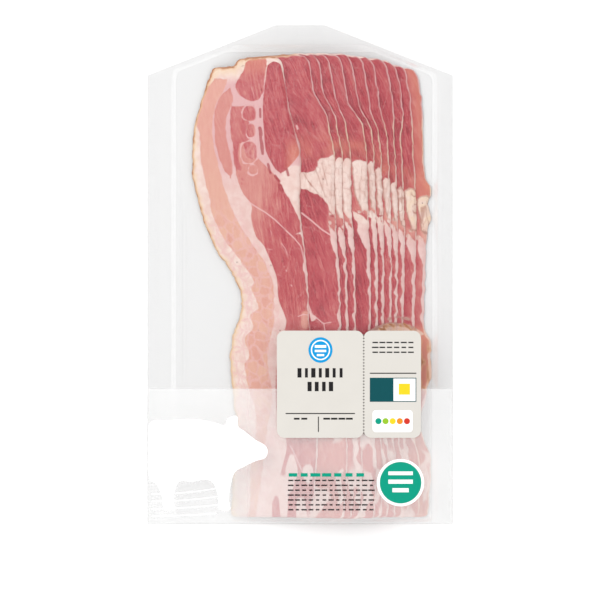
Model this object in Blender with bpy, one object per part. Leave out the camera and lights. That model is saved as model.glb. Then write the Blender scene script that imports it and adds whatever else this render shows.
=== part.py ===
# Bacon pack: a clear formed tray, shingled bacon slices, a clear lid film and a paper label.
# Metres, +Z up.  The pack lies on its tray with the shown side up, +Y is the end with the
# cut corners, and the origin is on the ground under the middle of the pack.

import math

import bmesh
import bpy

MM = 0.001
GAP = 0.3 * MM  # clearance between pieces that touch in the real pack

# Outline of the pack: a rectangle whose two corners at +Y are cut away.
PACK_WIDTH = 150 * MM
PACK_LENGTH = 245 * MM
TOP_EDGE_WIDTH = 24 * MM
CUT_DEPTH = 24.7 * MM
OUTLINE_RADIUS = 0.5 * MM

# Formed tray.
TRAY_HEIGHT = 13 * MM
WEB = 0.4 * MM  # thickness of the formed plastic
STEP_DROP = 0.5 * MM  # the smooth strip lies this much below the knurled seal
WALL_RADIUS = 5 * MM

# How far in from the outline each ring of the tray lies, in the order of the outline's
# sides: bottom, right, right cut, top, left cut, left.
SEAL_INNER = [1.1 * MM, 5.4 * MM, 0.7 * MM, 5.4 * MM, 0.7 * MM, 5.8 * MM]
STEP_FOOT = [1.6 * MM, 6.0 * MM, 1.1 * MM, 6.0 * MM, 1.1 * MM, 6.4 * MM]
WALL_TOP = [2.2 * MM, 7.4 * MM, 1.8 * MM, 9.6 * MM, 1.8 * MM, 11.6 * MM]
WALL_FOOT = [3.2 * MM, 9.6 * MM, 2.4 * MM, 12.1 * MM, 2.4 * MM, 13.6 * MM]

# Stiffening bead on the tray floor, beside the bacon's rind.
BEAD_X = -57.5 * MM
BEAD_ENDS_Y = (-100 * MM, 28 * MM)
BEAD_WIDTH = 2.2 * MM
BEAD_RISE = 0.8 * MM

# Bacon slices, numbered from the top slice at the left to the lowest at the right.
SLICE_COUNT = 12
SLICE_THICKNESS = 1.0 * MM
SLICE_STEP = 1.25 * MM  # height from one slice to the next
LAST_SLICE_WIDTH = 34 * MM
SLICE_FOOT_Y = -118.8 * MM
HIGHEST_HEAD_Y = 109.4 * MM
HIGHEST_HEAD_INDEX = 3.5
HEAD_FALL = 0.11 * MM  # the heads of the slices lie on a parabola
RIND_HEAD_RADIUS = 10 * MM
LEAN_HEAD_RADIUS = 5 * MM
FOOT_RADIUS = 2 * MM
RIGHT_LIMIT_X = 65 * MM
ROW_SPACING = 6.4 * MM

# Edges along the slices, as (y, x) in millimetres.
RIND_EDGE = (
    (-122, -34.2), (-100, -33.4), (-76, -32.0), (-60, -33.0), (-42, -34.7), (-28, -32.6),
    (-18, -29.3), (-8, -29.8), (3, -35.0), (13, -41.8), (28, -48.0), (46, -52.8),
    (62, -53.4), (80, -50.8), (95, -45.9), (106, -42.5),
)
TOP_SLICE_EDGE = (
    (-122, 6.0), (-81, 8.8), (-50, 6.5), (-21, 4.4), (-4, 3.8), (13, 2.4),
    (35, 0.0), (60, 0.4), (71, -2.4), (86, -5.9), (102, -8.4), (110, -9.8),
)
STACK_EDGE = (
    (-122, 63.5), (-95, 64.0), (-78, 61.0), (-50, 63.0), (-28, 61.5), (7, 62.4),
    (35, 63.0), (60, 61.4), (86, 60.6), (102, 57.9), (110, 56.2),
)
# Lumps on the last slice's edge: y, height and half-length in millimetres.
EDGE_LUMPS = ((42, 3.0, 4.0), (29, 2.0, 5.0), (-34, 3.0, 4.5), (-92, 1.4, 9.0))

# Share of the way from the top slice's edge to the stack's edge at which each slice ends.
HEAD_SHARES = (0, 0.205, 0.275, 0.352, 0.442, 0.52, 0.604, 0.68, 0.78, 0.85, 0.914, 1)
WAIST_SHARES = (0, 0.27, 0.333, 0.403, 0.531, 0.592, 0.648, 0.711, 0.765, 0.822, 0.917, 1)
SHARES_BLEND_Y = (58 * MM, 92 * MM)

# Lid film and label.
FILM_THICKNESS = 0.3 * MM
LABEL_THICKNESS = 0.3 * MM
LABEL_TOP_Y = -27.5 * MM
LABEL_FOOT_Y = -80.1 * MM
LABEL_LEFT_X = -11.4 * MM
LABEL_FOLD_X = 31.2 * MM  # the perforated line between the two panels
LABEL_RIGHT_X = 59.3 * MM
LABEL_RADIUS = 3.8 * MM

ARC_STEPS = 4  # straight pieces in each rounded corner


def clear_scene():
    for old in list(bpy.data.objects):
        bpy.data.objects.remove(old)


def plain_material(name, colour, roughness, alpha=1.0):
    material = bpy.data.materials.new(name)
    material.use_nodes = True
    shader = material.node_tree.nodes["Principled BSDF"]
    shader.inputs["Base Color"].default_value = (*colour, 1)
    shader.inputs["Roughness"].default_value = roughness
    shader.inputs["Metallic"].default_value = 0
    shader.inputs["Alpha"].default_value = alpha
    return material


def add_object(name, bm, material):
    bmesh.ops.recalc_face_normals(bm, faces=bm.faces)
    mesh = bpy.data.meshes.new(name)
    bm.to_mesh(mesh)
    bm.free()
    mesh.materials.append(material)
    made = bpy.data.objects.new(name, mesh)
    bpy.context.scene.collection.objects.link(made)
    return made


def stack_of_rings(rings):
    """A closed body through rings of equally many points, with a flat cap at each end."""
    bm = bmesh.new()
    loops = [[bm.verts.new(point) for point in ring] for ring in rings]
    for low, high in zip(loops, loops[1:]):
        for i in range(len(low)):
            j = (i + 1) % len(low)
            bm.faces.new((low[i], low[j], high[j], high[i]))
    bm.faces.new(loops[0])
    bm.faces.new(reversed(loops[-1]))
    return bm


def flat_plate(outline, low_z, high_z):
    return stack_of_rings([[(x, y, z) for x, y in outline] for z in (low_z, high_z)])


def pack_sides():
    """The outline's straight sides as outward normal and distance from the origin."""
    across = (PACK_WIDTH - TOP_EDGE_WIDTH) / 2
    slope = math.hypot(across, CUT_DEPTH)
    normal_x, normal_y = CUT_DEPTH / slope, across / slope
    reach = normal_x * TOP_EDGE_WIDTH / 2 + normal_y * PACK_LENGTH / 2
    return [
        (0, -1, PACK_LENGTH / 2),
        (1, 0, PACK_WIDTH / 2),
        (normal_x, normal_y, reach),
        (0, 1, PACK_LENGTH / 2),
        (-normal_x, normal_y, reach),
        (-1, 0, PACK_WIDTH / 2),
    ]


def crossing(side_a, side_b):
    (ax, ay, ad), (bx, by, bd) = side_a, side_b
    area = ax * by - ay * bx
    return (ad * by - bd * ay) / area, (ax * bd - bx * ad) / area


def arc(centre, radius, start, end):
    """Points on a circle from one angle to another, both in radians."""
    points = []
    for step in range(ARC_STEPS + 1):
        angle = start + (end - start) * step / ARC_STEPS
        x = centre[0] + radius * math.cos(angle)
        y = centre[1] + radius * math.sin(angle)
        points.append((x, y))
    return points


def pack_outline(insets, radius):
    """The pack's outline moved in on each side, with rounded corners."""
    sides = pack_sides()
    inner = [(nx, ny, reach - inset - radius) for (nx, ny, reach), inset in zip(sides, insets)]
    points = []
    for i, side in enumerate(inner):
        following = inner[(i + 1) % len(inner)]
        start = math.atan2(side[1], side[0])
        turn = (math.atan2(following[1], following[0]) - start) % math.tau
        points += arc(crossing(side, following), radius, start, start + turn)
    return points


def tray_ring(insets, radius, z):
    return [(x, y, z) for x, y in pack_outline(insets, radius)]


def make_tray():
    material = plain_material("clear tray plastic", (0.93, 0.94, 0.94), 0.08, 0.35)
    edge = [0.0] * len(SEAL_INNER)
    wall_top_below = [inset - WEB for inset in WALL_TOP]
    wall_foot_below = [inset - WEB for inset in WALL_FOOT]
    strip_z = TRAY_HEIGHT - STEP_DROP
    rings = [
        tray_ring(WALL_FOOT, WALL_RADIUS, WEB),
        tray_ring(WALL_TOP, WALL_RADIUS, strip_z),
        tray_ring(STEP_FOOT, OUTLINE_RADIUS, strip_z),
        tray_ring(SEAL_INNER, OUTLINE_RADIUS, TRAY_HEIGHT),
        tray_ring(edge, OUTLINE_RADIUS, TRAY_HEIGHT),
        tray_ring(edge, OUTLINE_RADIUS, TRAY_HEIGHT - WEB),
        tray_ring(SEAL_INNER, OUTLINE_RADIUS, TRAY_HEIGHT - WEB),
        tray_ring(STEP_FOOT, OUTLINE_RADIUS, strip_z - WEB),
        tray_ring(wall_top_below, WALL_RADIUS + WEB, strip_z - WEB),
        tray_ring(wall_foot_below, WALL_RADIUS + WEB, 0),
    ]
    tray = add_object("tray", stack_of_rings(rings), material)
    union = tray.modifiers.new("floor bead", "BOOLEAN")
    union.operation = "UNION"
    union.solver = "EXACT"
    union.object = make_bead(material)
    return tray


def make_bead(material):
    """The bead that the tray joins to its floor: long, with round ends and sloping sides."""
    rings = []
    for z, half_width in ((WEB / 2, BEAD_WIDTH / 2), (WEB + BEAD_RISE, BEAD_WIDTH / 4)):
        low_y, high_y = BEAD_ENDS_Y
        outline = arc((BEAD_X, high_y), half_width, 0, math.pi)
        outline += arc((BEAD_X, low_y), half_width, math.pi, math.tau)
        rings.append([(x, y, z) for x, y in outline])
    bead = add_object("bead_guide", stack_of_rings(rings), material)
    bead.hide_render = True
    bead.display_type = "WIRE"
    return bead


def edge_x(curve, y):
    """X of a smooth edge at height y: a cubic through the curve's (y, x) points."""
    points = [(py * MM, px * MM) for py, px in curve]
    y = min(max(y, points[0][0]), points[-1][0])
    i = max(n for n in range(len(points) - 1) if points[n][0] <= y)
    slopes = []
    for n in (i, i + 1):
        before = points[max(n - 1, 0)]
        after = points[min(n + 1, len(points) - 1)]
        slopes.append((after[1] - before[1]) / (after[0] - before[0]))
    (y0, x0), (y1, x1) = points[i], points[i + 1]
    span = y1 - y0
    t = (y - y0) / span
    start = (2 * t**3 - 3 * t**2 + 1) * x0 + (t**3 - 2 * t**2 + t) * span * slopes[0]
    end = (3 * t**2 - 2 * t**3) * x1 + (t**3 - t**2) * span * slopes[1]
    return start + end


def blend(low, high, value):
    """0 below low, 1 above high, and a smooth rise between them."""
    t = min(max((value - low) / (high - low), 0), 1)
    return t * t * (3 - 2 * t)


def right_edge(index, y):
    """X of the lean edge of one slice."""
    top = edge_x(TOP_SLICE_EDGE, y)
    stack = edge_x(STACK_EDGE, y)
    at_head = blend(*SHARES_BLEND_Y, y)
    share = HEAD_SHARES[index] * at_head + WAIST_SHARES[index] * (1 - at_head)
    x = top + (stack - top) * share
    if index == SLICE_COUNT - 1:
        for lump_y, height, spread in EDGE_LUMPS:
            x += height * MM * math.exp(-(((y / MM - lump_y) / spread) ** 2))
    return min(x, RIGHT_LIMIT_X)


def fan_pitch(y):
    """Distance from one slice's rind to the next at height y."""
    last_rind = edge_x(STACK_EDGE, y) - LAST_SLICE_WIDTH
    return (last_rind - edge_x(RIND_EDGE, y)) / (SLICE_COUNT - 1)


def left_edge(index, y):
    """X of the rind of one slice: the rinds lie evenly spaced, each under the slice above."""
    return edge_x(RIND_EDGE, y) + index * fan_pitch(y)


def underside_z(index, x, y):
    """The slices lie on each other like roof tiles, and the lowest rests on the tray floor."""
    slices_below_rind = min((x - edge_x(RIND_EDGE, y)) / fan_pitch(y), SLICE_COUNT - 1)
    return WEB + GAP + SLICE_STEP * (slices_below_rind - index)


def corner_inset(distance, radius):
    """How far a rounded corner stands in, at a distance from the slice's end."""
    if distance >= radius:
        return 0.0
    return radius - math.sqrt(radius**2 - (radius - distance) ** 2)


def head_y(index):
    return HIGHEST_HEAD_Y - HEAD_FALL * (index - HIGHEST_HEAD_INDEX) ** 2


def slice_rows(index):
    """Heights of the rows of points across a slice, closer together at its round ends."""
    head = head_y(index)
    low = SLICE_FOOT_Y + FOOT_RADIUS
    high = head - RIND_HEAD_RADIUS
    steps = round((high - low) / ROW_SPACING)
    foot_rows = [SLICE_FOOT_Y, SLICE_FOOT_Y + 0.2 * FOOT_RADIUS]
    middle_rows = [low + (high - low) * step / steps for step in range(steps + 1)]
    head_rows = [head - share * RIND_HEAD_RADIUS for share in (0.55, 0.25, 0.08, 0)]
    return foot_rows + middle_rows + head_rows


def slice_columns(index, y):
    """X of the points across a slice at height y: rind, middle, crease and lean edge."""
    from_head, from_foot = head_y(index) - y, y - SLICE_FOOT_Y
    foot = corner_inset(from_foot, FOOT_RADIUS)
    left = left_edge(index, y) + corner_inset(from_head, RIND_HEAD_RADIUS) + foot
    right = right_edge(index, y) - corner_inset(from_head, LEAN_HEAD_RADIUS) - foot
    crease = left_edge(SLICE_COUNT - 1, y)
    crease = min(max(crease, left + 1 * MM), right - 0.6 * MM)
    return (left, (left + crease) / 2, crease, right)


def make_slice(index, material):
    """A slice as one closed sheet: each row of points runs across the top and back below."""
    rings = []
    for y in slice_rows(index):
        columns = slice_columns(index, y)
        below = [(x, y, underside_z(index, x, y)) for x in columns]
        above = [(x, y, z + SLICE_THICKNESS) for x, y, z in below]
        rings.append(above + below[::-1])
    bm = stack_of_rings(rings)
    return add_object(f"bacon_slice_{index + 1:02d}", bm, material)


def make_lid_film():
    material = plain_material("clear lid film", (0.95, 0.95, 0.95), 0.05, 0.25)
    outline = pack_outline([0.0] * len(SEAL_INNER), OUTLINE_RADIUS)
    low = TRAY_HEIGHT + GAP
    return add_object("lid_film", flat_plate(outline, low, low + FILM_THICKNESS), material)


def panel_outline(left, right):
    """One label panel with four round corners, as four arcs from its lower left corner."""
    low, high = LABEL_FOOT_Y + LABEL_RADIUS, LABEL_TOP_Y - LABEL_RADIUS
    near, far = left + LABEL_RADIUS, right - LABEL_RADIUS
    quarter = math.pi / 2
    centres = [(near, low), (far, low), (far, high), (near, high)]
    return [
        arc(centre, LABEL_RADIUS, (turn + 2) * quarter, (turn + 3) * quarter)
        for turn, centre in enumerate(centres)
    ]


def make_label():
    """Two panels in one piece, with a notch at each end of the perforated line."""
    material = plain_material("off-white paper label", (0.83, 0.8, 0.75), 0.6)
    main = panel_outline(LABEL_LEFT_X, LABEL_FOLD_X)
    side = panel_outline(LABEL_FOLD_X, LABEL_RIGHT_X)
    outline = main[0] + main[1] + side[0][1:] + side[1] + side[2] + side[3] + main[2][1:] + main[3]
    low = TRAY_HEIGHT + GAP + FILM_THICKNESS + GAP
    return add_object("label", flat_plate(outline, low, low + LABEL_THICKNESS), material)


def build():
    clear_scene()
    make_tray()
    bacon = plain_material("bacon", (0.62, 0.2, 0.19), 0.4)
    for index in range(SLICE_COUNT):
        make_slice(index, bacon)
    make_lid_film()
    make_label()


build()
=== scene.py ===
# Bacon pack: a clear tray with overlapping slices, a printed lid film and a two-panel label.
# Sizes in this script are in millimetres, and meshes are scaled to metres as they are made.

import math

import bmesh
import bpy
import numpy as np
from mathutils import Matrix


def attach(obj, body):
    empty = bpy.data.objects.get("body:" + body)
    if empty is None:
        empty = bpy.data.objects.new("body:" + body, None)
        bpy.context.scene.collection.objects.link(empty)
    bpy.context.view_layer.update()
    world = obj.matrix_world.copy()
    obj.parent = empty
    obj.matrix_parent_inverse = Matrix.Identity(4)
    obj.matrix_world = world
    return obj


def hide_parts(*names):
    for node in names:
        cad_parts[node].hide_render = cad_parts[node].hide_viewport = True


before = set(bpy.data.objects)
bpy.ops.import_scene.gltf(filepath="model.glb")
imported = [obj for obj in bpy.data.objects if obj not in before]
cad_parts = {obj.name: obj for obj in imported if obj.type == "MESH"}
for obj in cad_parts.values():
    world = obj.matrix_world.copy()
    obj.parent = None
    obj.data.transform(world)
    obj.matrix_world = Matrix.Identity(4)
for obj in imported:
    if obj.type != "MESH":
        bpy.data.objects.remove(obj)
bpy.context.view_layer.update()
mm = 0.001


def linearColour(hexText):
    parts = [int(hexText[i:i + 2], 16) / 255 for i in (1, 3, 5)]
    flat = [c / 12.92 if c <= 0.04045 else ((c + 0.055) / 1.055) ** 2.4 for c in parts]
    return (*flat, 1.0)


def addNode(tree, kind, inputs=None, **settings):  # a node with its settings, values and links
    made = tree.nodes.new(kind)
    for key, value in settings.items():
        setattr(made, key, value)
    for key, value in (inputs or {}).items():
        if isinstance(value, bpy.types.NodeSocket):
            tree.links.new(value, made.inputs[key])
        else:
            made.inputs[key].default_value = value
    return made


def newMaterial(name):
    material = bpy.data.materials.new(name)
    material.use_nodes = True
    material.node_tree.nodes.clear()
    return material, material.node_tree


def newObject(name, mesh, material):
    mesh.materials.clear()
    mesh.materials.append(material)
    made = bpy.data.objects.new(name, mesh)
    bpy.context.scene.collection.objects.link(made)
    return made


def fillRamp(made, stops):  # a colour ramp's places and linear colours
    elements = made.color_ramp.elements
    while len(elements) < len(stops):
        elements.new(0.5)
    for element, (place, colour) in zip(elements, stops):
        element.position = place
        element.color = colour


def finishPiece(piece, slot, *nodes):  # every piece rides on the one body
    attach(piece, "root")
    if nodes:
        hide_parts(*nodes)


# The camera looks straight down, and its frame is "width" wide at the height of the lid film.
view = {"width": 294.48, "centreX": -0.05, "centreY": -12.47, "lens": 135, "sensor": 36, "planeZ": 13.5}


def makeCamera():
    data = bpy.data.cameras.new("overhead")
    data.lens = view["lens"]
    data.sensor_width = view["sensor"]
    height = view["width"] * view["lens"] / view["sensor"] + view["planeZ"]
    data.clip_start, data.clip_end = 0.05, 10
    camera = bpy.data.objects.new("overhead", data)
    camera.location = (view["centreX"] * mm, view["centreY"] * mm, height * mm)
    bpy.context.scene.collection.objects.link(camera)
    bpy.context.scene.camera = camera


studio = {  # power and place in metres of each lamp
    "skyStrength": 0.94,
    "lampSize": 0.9,
    "floorSize": 6.0,
    "floorDrop": 0.2,
    "lamps": {
        "key softbox": (6.5, (-0.7, 0.6, 1.0)),
        "fill softbox": (2.5, (0.8, -0.6, 0.9)),
    },
}


def makeStudio():
    world = bpy.data.worlds.new("white studio")
    world.use_nodes = True
    sky = world.node_tree.nodes["Background"]
    sky.inputs["Color"].default_value = (1, 1, 1, 1)
    sky.inputs["Strength"].default_value = studio["skyStrength"]
    bpy.context.scene.world = world
    for name, (power, place) in studio["lamps"].items():
        data = bpy.data.lights.new(name, "AREA")
        data.energy = power
        data.size = studio["lampSize"]
        lamp = bpy.data.objects.new(name, data)
        lamp.location = place
        lamp.rotation_euler = (-lamp.location).to_track_quat("-Z", "Y").to_euler()
        bpy.context.scene.collection.objects.link(lamp)
    bm = bmesh.new()
    bmesh.ops.create_grid(bm, x_segments=1, y_segments=1, size=studio["floorSize"] / 2)
    bmesh.ops.translate(bm, verts=bm.verts, vec=(0, 0, -studio["floorDrop"] * mm))
    mesh = bpy.data.meshes.new("studio_floor")
    bm.to_mesh(mesh)
    bm.free()
    material, tree = newMaterial("white painted board")  # matt, so it takes no reflections
    paint = addNode(tree, "ShaderNodeBsdfDiffuse", {"Color": (0.93, 0.93, 0.93, 1)})
    addNode(tree, "ShaderNodeOutputMaterial", {"Surface": paint.outputs[0]})
    floor = newObject("studio_floor", mesh, material)


makeCamera()
makeStudio()
bpy.context.scene.view_settings.view_transform = "Standard"
print("camera and studio ready")


# Shape helpers, in millimetres and on whole arrays at once.

def ramp(low, high, value):  # 0 at low, 1 at high, smooth between
    t = np.clip((value - low) / (high - low), 0, 1)
    return t * t * (3 - 2 * t)


def along(points, y):  # x of a smooth edge at height y, through (y, x) points
    ys = np.array([p[0] for p in points], float)
    xs = np.array([p[1] for p in points], float)
    y = np.clip(y, ys[0], ys[-1])
    i = np.clip(np.searchsorted(ys, y, side="right") - 1, 0, len(ys) - 2)
    before = np.maximum(np.arange(len(ys)) - 1, 0)
    after = np.minimum(np.arange(len(ys)) + 1, len(ys) - 1)
    slopes = (xs[after] - xs[before]) / (ys[after] - ys[before])
    span = ys[i + 1] - ys[i]
    t = (y - ys[i]) / span
    start = (2 * t**3 - 3 * t**2 + 1) * xs[i] + (t**3 - 2 * t**2 + t) * span * slopes[i]
    end = (3 * t**2 - 2 * t**3) * xs[i + 1] + (t**3 - t**2) * span * slopes[i + 1]
    return start + end


def softNoise(x, y, size, seed):  # smooth random hills from -1 to 1, about size across
    table = np.random.default_rng(seed).uniform(-1, 1, (97, 97))
    u, v = x / size + 1000, y / size + 1000
    i, j = np.floor(u).astype(int), np.floor(v).astype(int)
    f, g = u - i, v - j
    f, g = f * f * (3 - 2 * f), g * g * (3 - 2 * g)
    a, b = table[i % 97, j % 97], table[(i + 1) % 97, j % 97]
    c, d = table[i % 97, (j + 1) % 97], table[(i + 1) % 97, (j + 1) % 97]
    return (a + (b - a) * f) * (1 - g) + (c + (d - c) * f) * g


def lineNoise(t, size, seed):  # the same hills along a single line
    return softNoise(t, t * 0, size, seed)


# Most of the next functions give the distance to a shape, below 0 inside it.

def roundBox(x, y, centreX, centreY, halfX, halfY, radius):
    dx = abs(x - centreX) - halfX + radius
    dy = abs(y - centreY) - halfY + radius
    outside = np.hypot(np.maximum(dx, 0), np.maximum(dy, 0))
    return outside + np.minimum(np.maximum(dx, dy), 0) - radius


def pill(x, y, start, end, radius):
    (x0, y0), (x1, y1) = start, end
    dx, dy = x1 - x0, y1 - y0
    t = np.clip(((x - x0) * dx + (y - y0) * dy) / (dx * dx + dy * dy), 0, 1)
    return np.hypot(x - x0 - t * dx, y - y0 - t * dy) - radius


def trail(x, y, points, radius):  # a rounded line through several points
    parts = [pill(x, y, a, b, radius) for a, b in zip(points, points[1:])]
    return np.minimum.reduce(parts)


def smoothLoop(points, steps):  # a rounded closed outline through the points
    spots = np.array(points)
    before, after, second = np.roll(spots, 1, 0), np.roll(spots, -1, 0), np.roll(spots, -2, 0)
    rounded = []
    for share in np.arange(steps) / steps:
        bend = 2 * before - 5 * spots + 4 * after - second
        twist = 3 * spots - before - 3 * after + second
        rounded.append(0.5 * (2 * spots + (after - before) * share + bend * share**2 + twist * share**3))
    return np.stack(rounded, 1).reshape(-1, 2).tolist()


def patch(x, y, corners):  # a free closed outline, rounded
    points = smoothLoop(corners, 4)
    sign = np.full(np.shape(x), 1.0)
    nearest = np.full(np.shape(x), 1e9)
    for (x0, y0), (x1, y1) in zip(points, points[1:] + points[:1]):
        nearest = np.minimum(nearest, pill(x, y, (x0, y0), (x1, y1), 0))
        crosses = (y0 > y) != (y1 > y)
        sideX = (x1 - x0) * (y - y0) / (y1 - y0 + 1e-9) + x0
        sign = np.where(crosses & (x < sideX), -sign, sign)
    return nearest * sign


# Slice 0 is the top one at the left.  Each next slice lies below it and shows at its right.
# The edges are those of the frame's solid slices with more detail.
slices = {
    "count": 12,
    "thickness": 1.2,
    "step": 1.25,
    "lastWidth": 34,
    "restZ": 0.7,
    "foot": -120.4,
    "headTop": 109.4,
    "headFall": 0.11,
    "headMiddle": 3.5,
    "rindHeadRadius": 10,
    "leanHeadRadius": 5,
    "footRadius": 2,
    "edgeReach": 2.2,
    "edgeDrop": 1.34,
    "endReach": 1.2,
    "endDrop": 1.1,
    "rowSpacing": 0.5,
    "columnSpacing": 0.45,
    "elbow": 86,
    "elbowFall": 1.6,
    "elbowReach": 7,
    "wallLimit": 65,
}
# The edges as (y, x): the rind side and the lean side of the top slice, and the stack's right side.
rindEdge = (
    (-122, -34.2), (-100, -33.4), (-76, -32.0), (-60, -33.0), (-42, -34.7), (-28, -32.6),
    (-18, -29.3), (-8, -29.8), (3, -35.0), (13, -41.8), (28, -48.0), (46, -52.8),
    (62, -53.4), (80, -50.8), (95, -45.9), (106, -42.5),
)
topSliceEdge = (
    (-122, 6.0), (-81, 8.8), (-50, 6.5), (-21, 4.4), (-4, 3.8), (13, 2.4),
    (35, 0.0), (60, 0.4), (71, -2.4), (86, -5.9), (102, -8.4), (110, -9.8),
)
stackEdge = (
    (-122, 63.5), (-95, 64.0), (-78, 61.0), (-50, 63.0), (-28, 61.5), (7, 62.4),
    (35, 63.0), (60, 61.4), (86, 60.6), (102, 57.9), (110, 56.2),
)
edgeLumps = (  # place, height and spread of the last slice's lumps of meat
    (42, 3.2, 4.0), (29, 2.0, 5.0), (-34, 3.6, 4.5), (-46, 3.0, 7.5), (-72, -2.0, 6.0), (-94, 1.8, 9.0),
)
# How far across the fan each slice's right edge lies, near the head and below the elbow.
headShares = (0, 0.205, 0.275, 0.352, 0.442, 0.52, 0.604, 0.68, 0.78, 0.85, 0.914, 1)
waistShares = (0, 0.27, 0.333, 0.403, 0.531, 0.592, 0.648, 0.711, 0.765, 0.822, 0.917, 1)


def rightEdge(k, y):
    top, stack = along(topSliceEdge, y), along(stackEdge, y)
    elbow = slices["elbow"] - slices["elbowFall"] * k  # where the edge steps to the right
    atHead = ramp(elbow - slices["elbowReach"], elbow + slices["elbowReach"], y)
    x = top + (stack - top) * (headShares[k] * atHead + waistShares[k] * (1 - atHead))
    if k == slices["count"] - 1:
        for lumpY, height, spread in edgeLumps:
            x = x + height * np.exp(-(((y - lumpY) / spread) ** 2))
    return np.minimum(x, slices["wallLimit"])


def fanPitch(y):
    return (along(stackEdge, y) - slices["lastWidth"] - along(rindEdge, y)) / (slices["count"] - 1)


def leftEdge(k, y):
    return along(rindEdge, y) + k * fanPitch(y)


def undersideZ(k, x, y):
    below = np.minimum((x - along(rindEdge, y)) / fanPitch(y), slices["count"] - 1)
    return slices["restZ"] + slices["step"] * (below - k)


def cornerInset(distance, radius):
    reach = np.clip(radius - distance, 0, radius)
    return radius - np.sqrt(radius**2 - reach**2)


def headY(k):  # the heads fan out in a low arc
    return slices["headTop"] - slices["headFall"] * (k - slices["headMiddle"]) ** 2


topSliceCrown = (  # the stepped outline round the head of the top slice, as (x, y)
    (-47.5, 92), (-46.2, 96), (-44.6, 100.2), (-42.6, 102.2), (-40.0, 102.8), (-33.6, 103.1),
    (-32.6, 104.2), (-31.4, 106.0), (-29.4, 107.0), (-25.4, 107.3), (-20.2, 107.9), (-12, 108.2),
)


def sliceSides(k, y):
    fromHead, fromFoot = headY(k) - y, y - slices["foot"]
    foot = cornerInset(fromFoot, slices["footRadius"])
    left = leftEdge(k, y) + cornerInset(fromHead, slices["rindHeadRadius"]) + foot
    if k < 5:
        crownY, crownX = [spot[1] for spot in topSliceCrown], [spot[0] for spot in topSliceCrown]
        limit = np.interp(y - 0.25 * k, crownY, crownX) + 0.9 * k
        left = np.where(y > 92, np.maximum(left, limit), left)
    right = rightEdge(k, y) - cornerInset(fromHead, slices["leanHeadRadius"]) - foot
    ragged = 0.28 * lineNoise(y, 3.5, 40 + k) + 0.16 * lineNoise(y, 1.3, 80 + k)
    quiet = ramp(0, 3, fromHead) * ramp(0, 3, fromFoot)
    nicks = 0.3 * lineNoise(y, 5, 60 + k) + 0.34 * lineNoise(y, 1.3, 70 + k)
    return left + quiet * nicks, right + quiet * ragged


# Anatomy of the top slice: the edges of its long muscles as (y, x).
bandOuter = (
    (-120.4, -26.6), (-112, -24.6), (-97, -24.6), (-76, -21.6), (-66, -22.6), (-54, -26.2),
    (-44.4, -27.2), (-40.9, -25.1), (-31.6, -27.2), (-25.7, -23.1), (-19.8, -24.3),
    (-16.4, -20.7), (-6.1, -24.3), (-3.6, -22.7), (6.2, -28.8), (17.7, -37.5), (29.3, -43.0),
    (42, -45.7), (54.8, -48.5), (69.5, -49.5), (75.9, -51.5), (89.6, -48.3), (96.5, -42.7),
)
bandInner = (
    (-117, -21.8), (-97.4, -18.8), (-75.3, -16.2), (-63.5, -13.8), (-55.7, -14.1),
    (-40.4, -16.2), (-24.7, -13.3), (-6.1, -13.3), (5.7, -17.4), (14, -22.7), (20.9, -27.5),
    (30.2, -32.7), (43.5, -37.7), (57.2, -41.3), (66.1, -43.1), (77.8, -43.2), (86.4, -41),
    (91.6, -38), (96.2, -36),
)
secondLeft = (
    (48.9, -34.5), (51.6, -37.4), (60.9, -40.8), (67, -42), (80.8, -42), (88.1, -39.3), (92.7, -34.5),
)
secondRight = (
    (48.9, -34.5), (50.8, -33.5), (59.7, -34.9), (72.1, -37), (80.3, -35.8), (86.4, -33.5),
    (92.7, -34.5),
)
innerLeft = (
    (-117.5, -15.5), (-104.2, -10.9), (-95.9, -9.1), (-86.6, -6.8), (-80.2, -7.2),
    (-71.4, -11.3), (-41.9, -11.3), (-23.8, -6.8), (-19.8, -7.7), (-12.5, -10.5),
    (-0.7, -11.8), (10.6, -16.2), (14.5, -18), (18.9, -21.7), (28.3, -24.2), (34.3, -24),
    (40.8, -28.5), (49.6, -31.5),
)
fingerLeft = (
    (50.1, -9.5), (52.1, -12), (60.7, -16.5), (68.5, -17.5), (83.7, -18.2), (97.7, -16.7),
    (102.9, -16.0), (104.6, -14.6), (105.2, -13),
)
fingerRight = (
    (50.1, -9.5), (51.3, -7.5), (55.8, -3.2), (59.7, -0.6), (64.6, -1.6), (75.9, -4.3),
    (81.3, -6.0), (89.1, -6.9), (102.9, -9.6), (104.6, -10.9), (105.2, -13),
)


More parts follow.
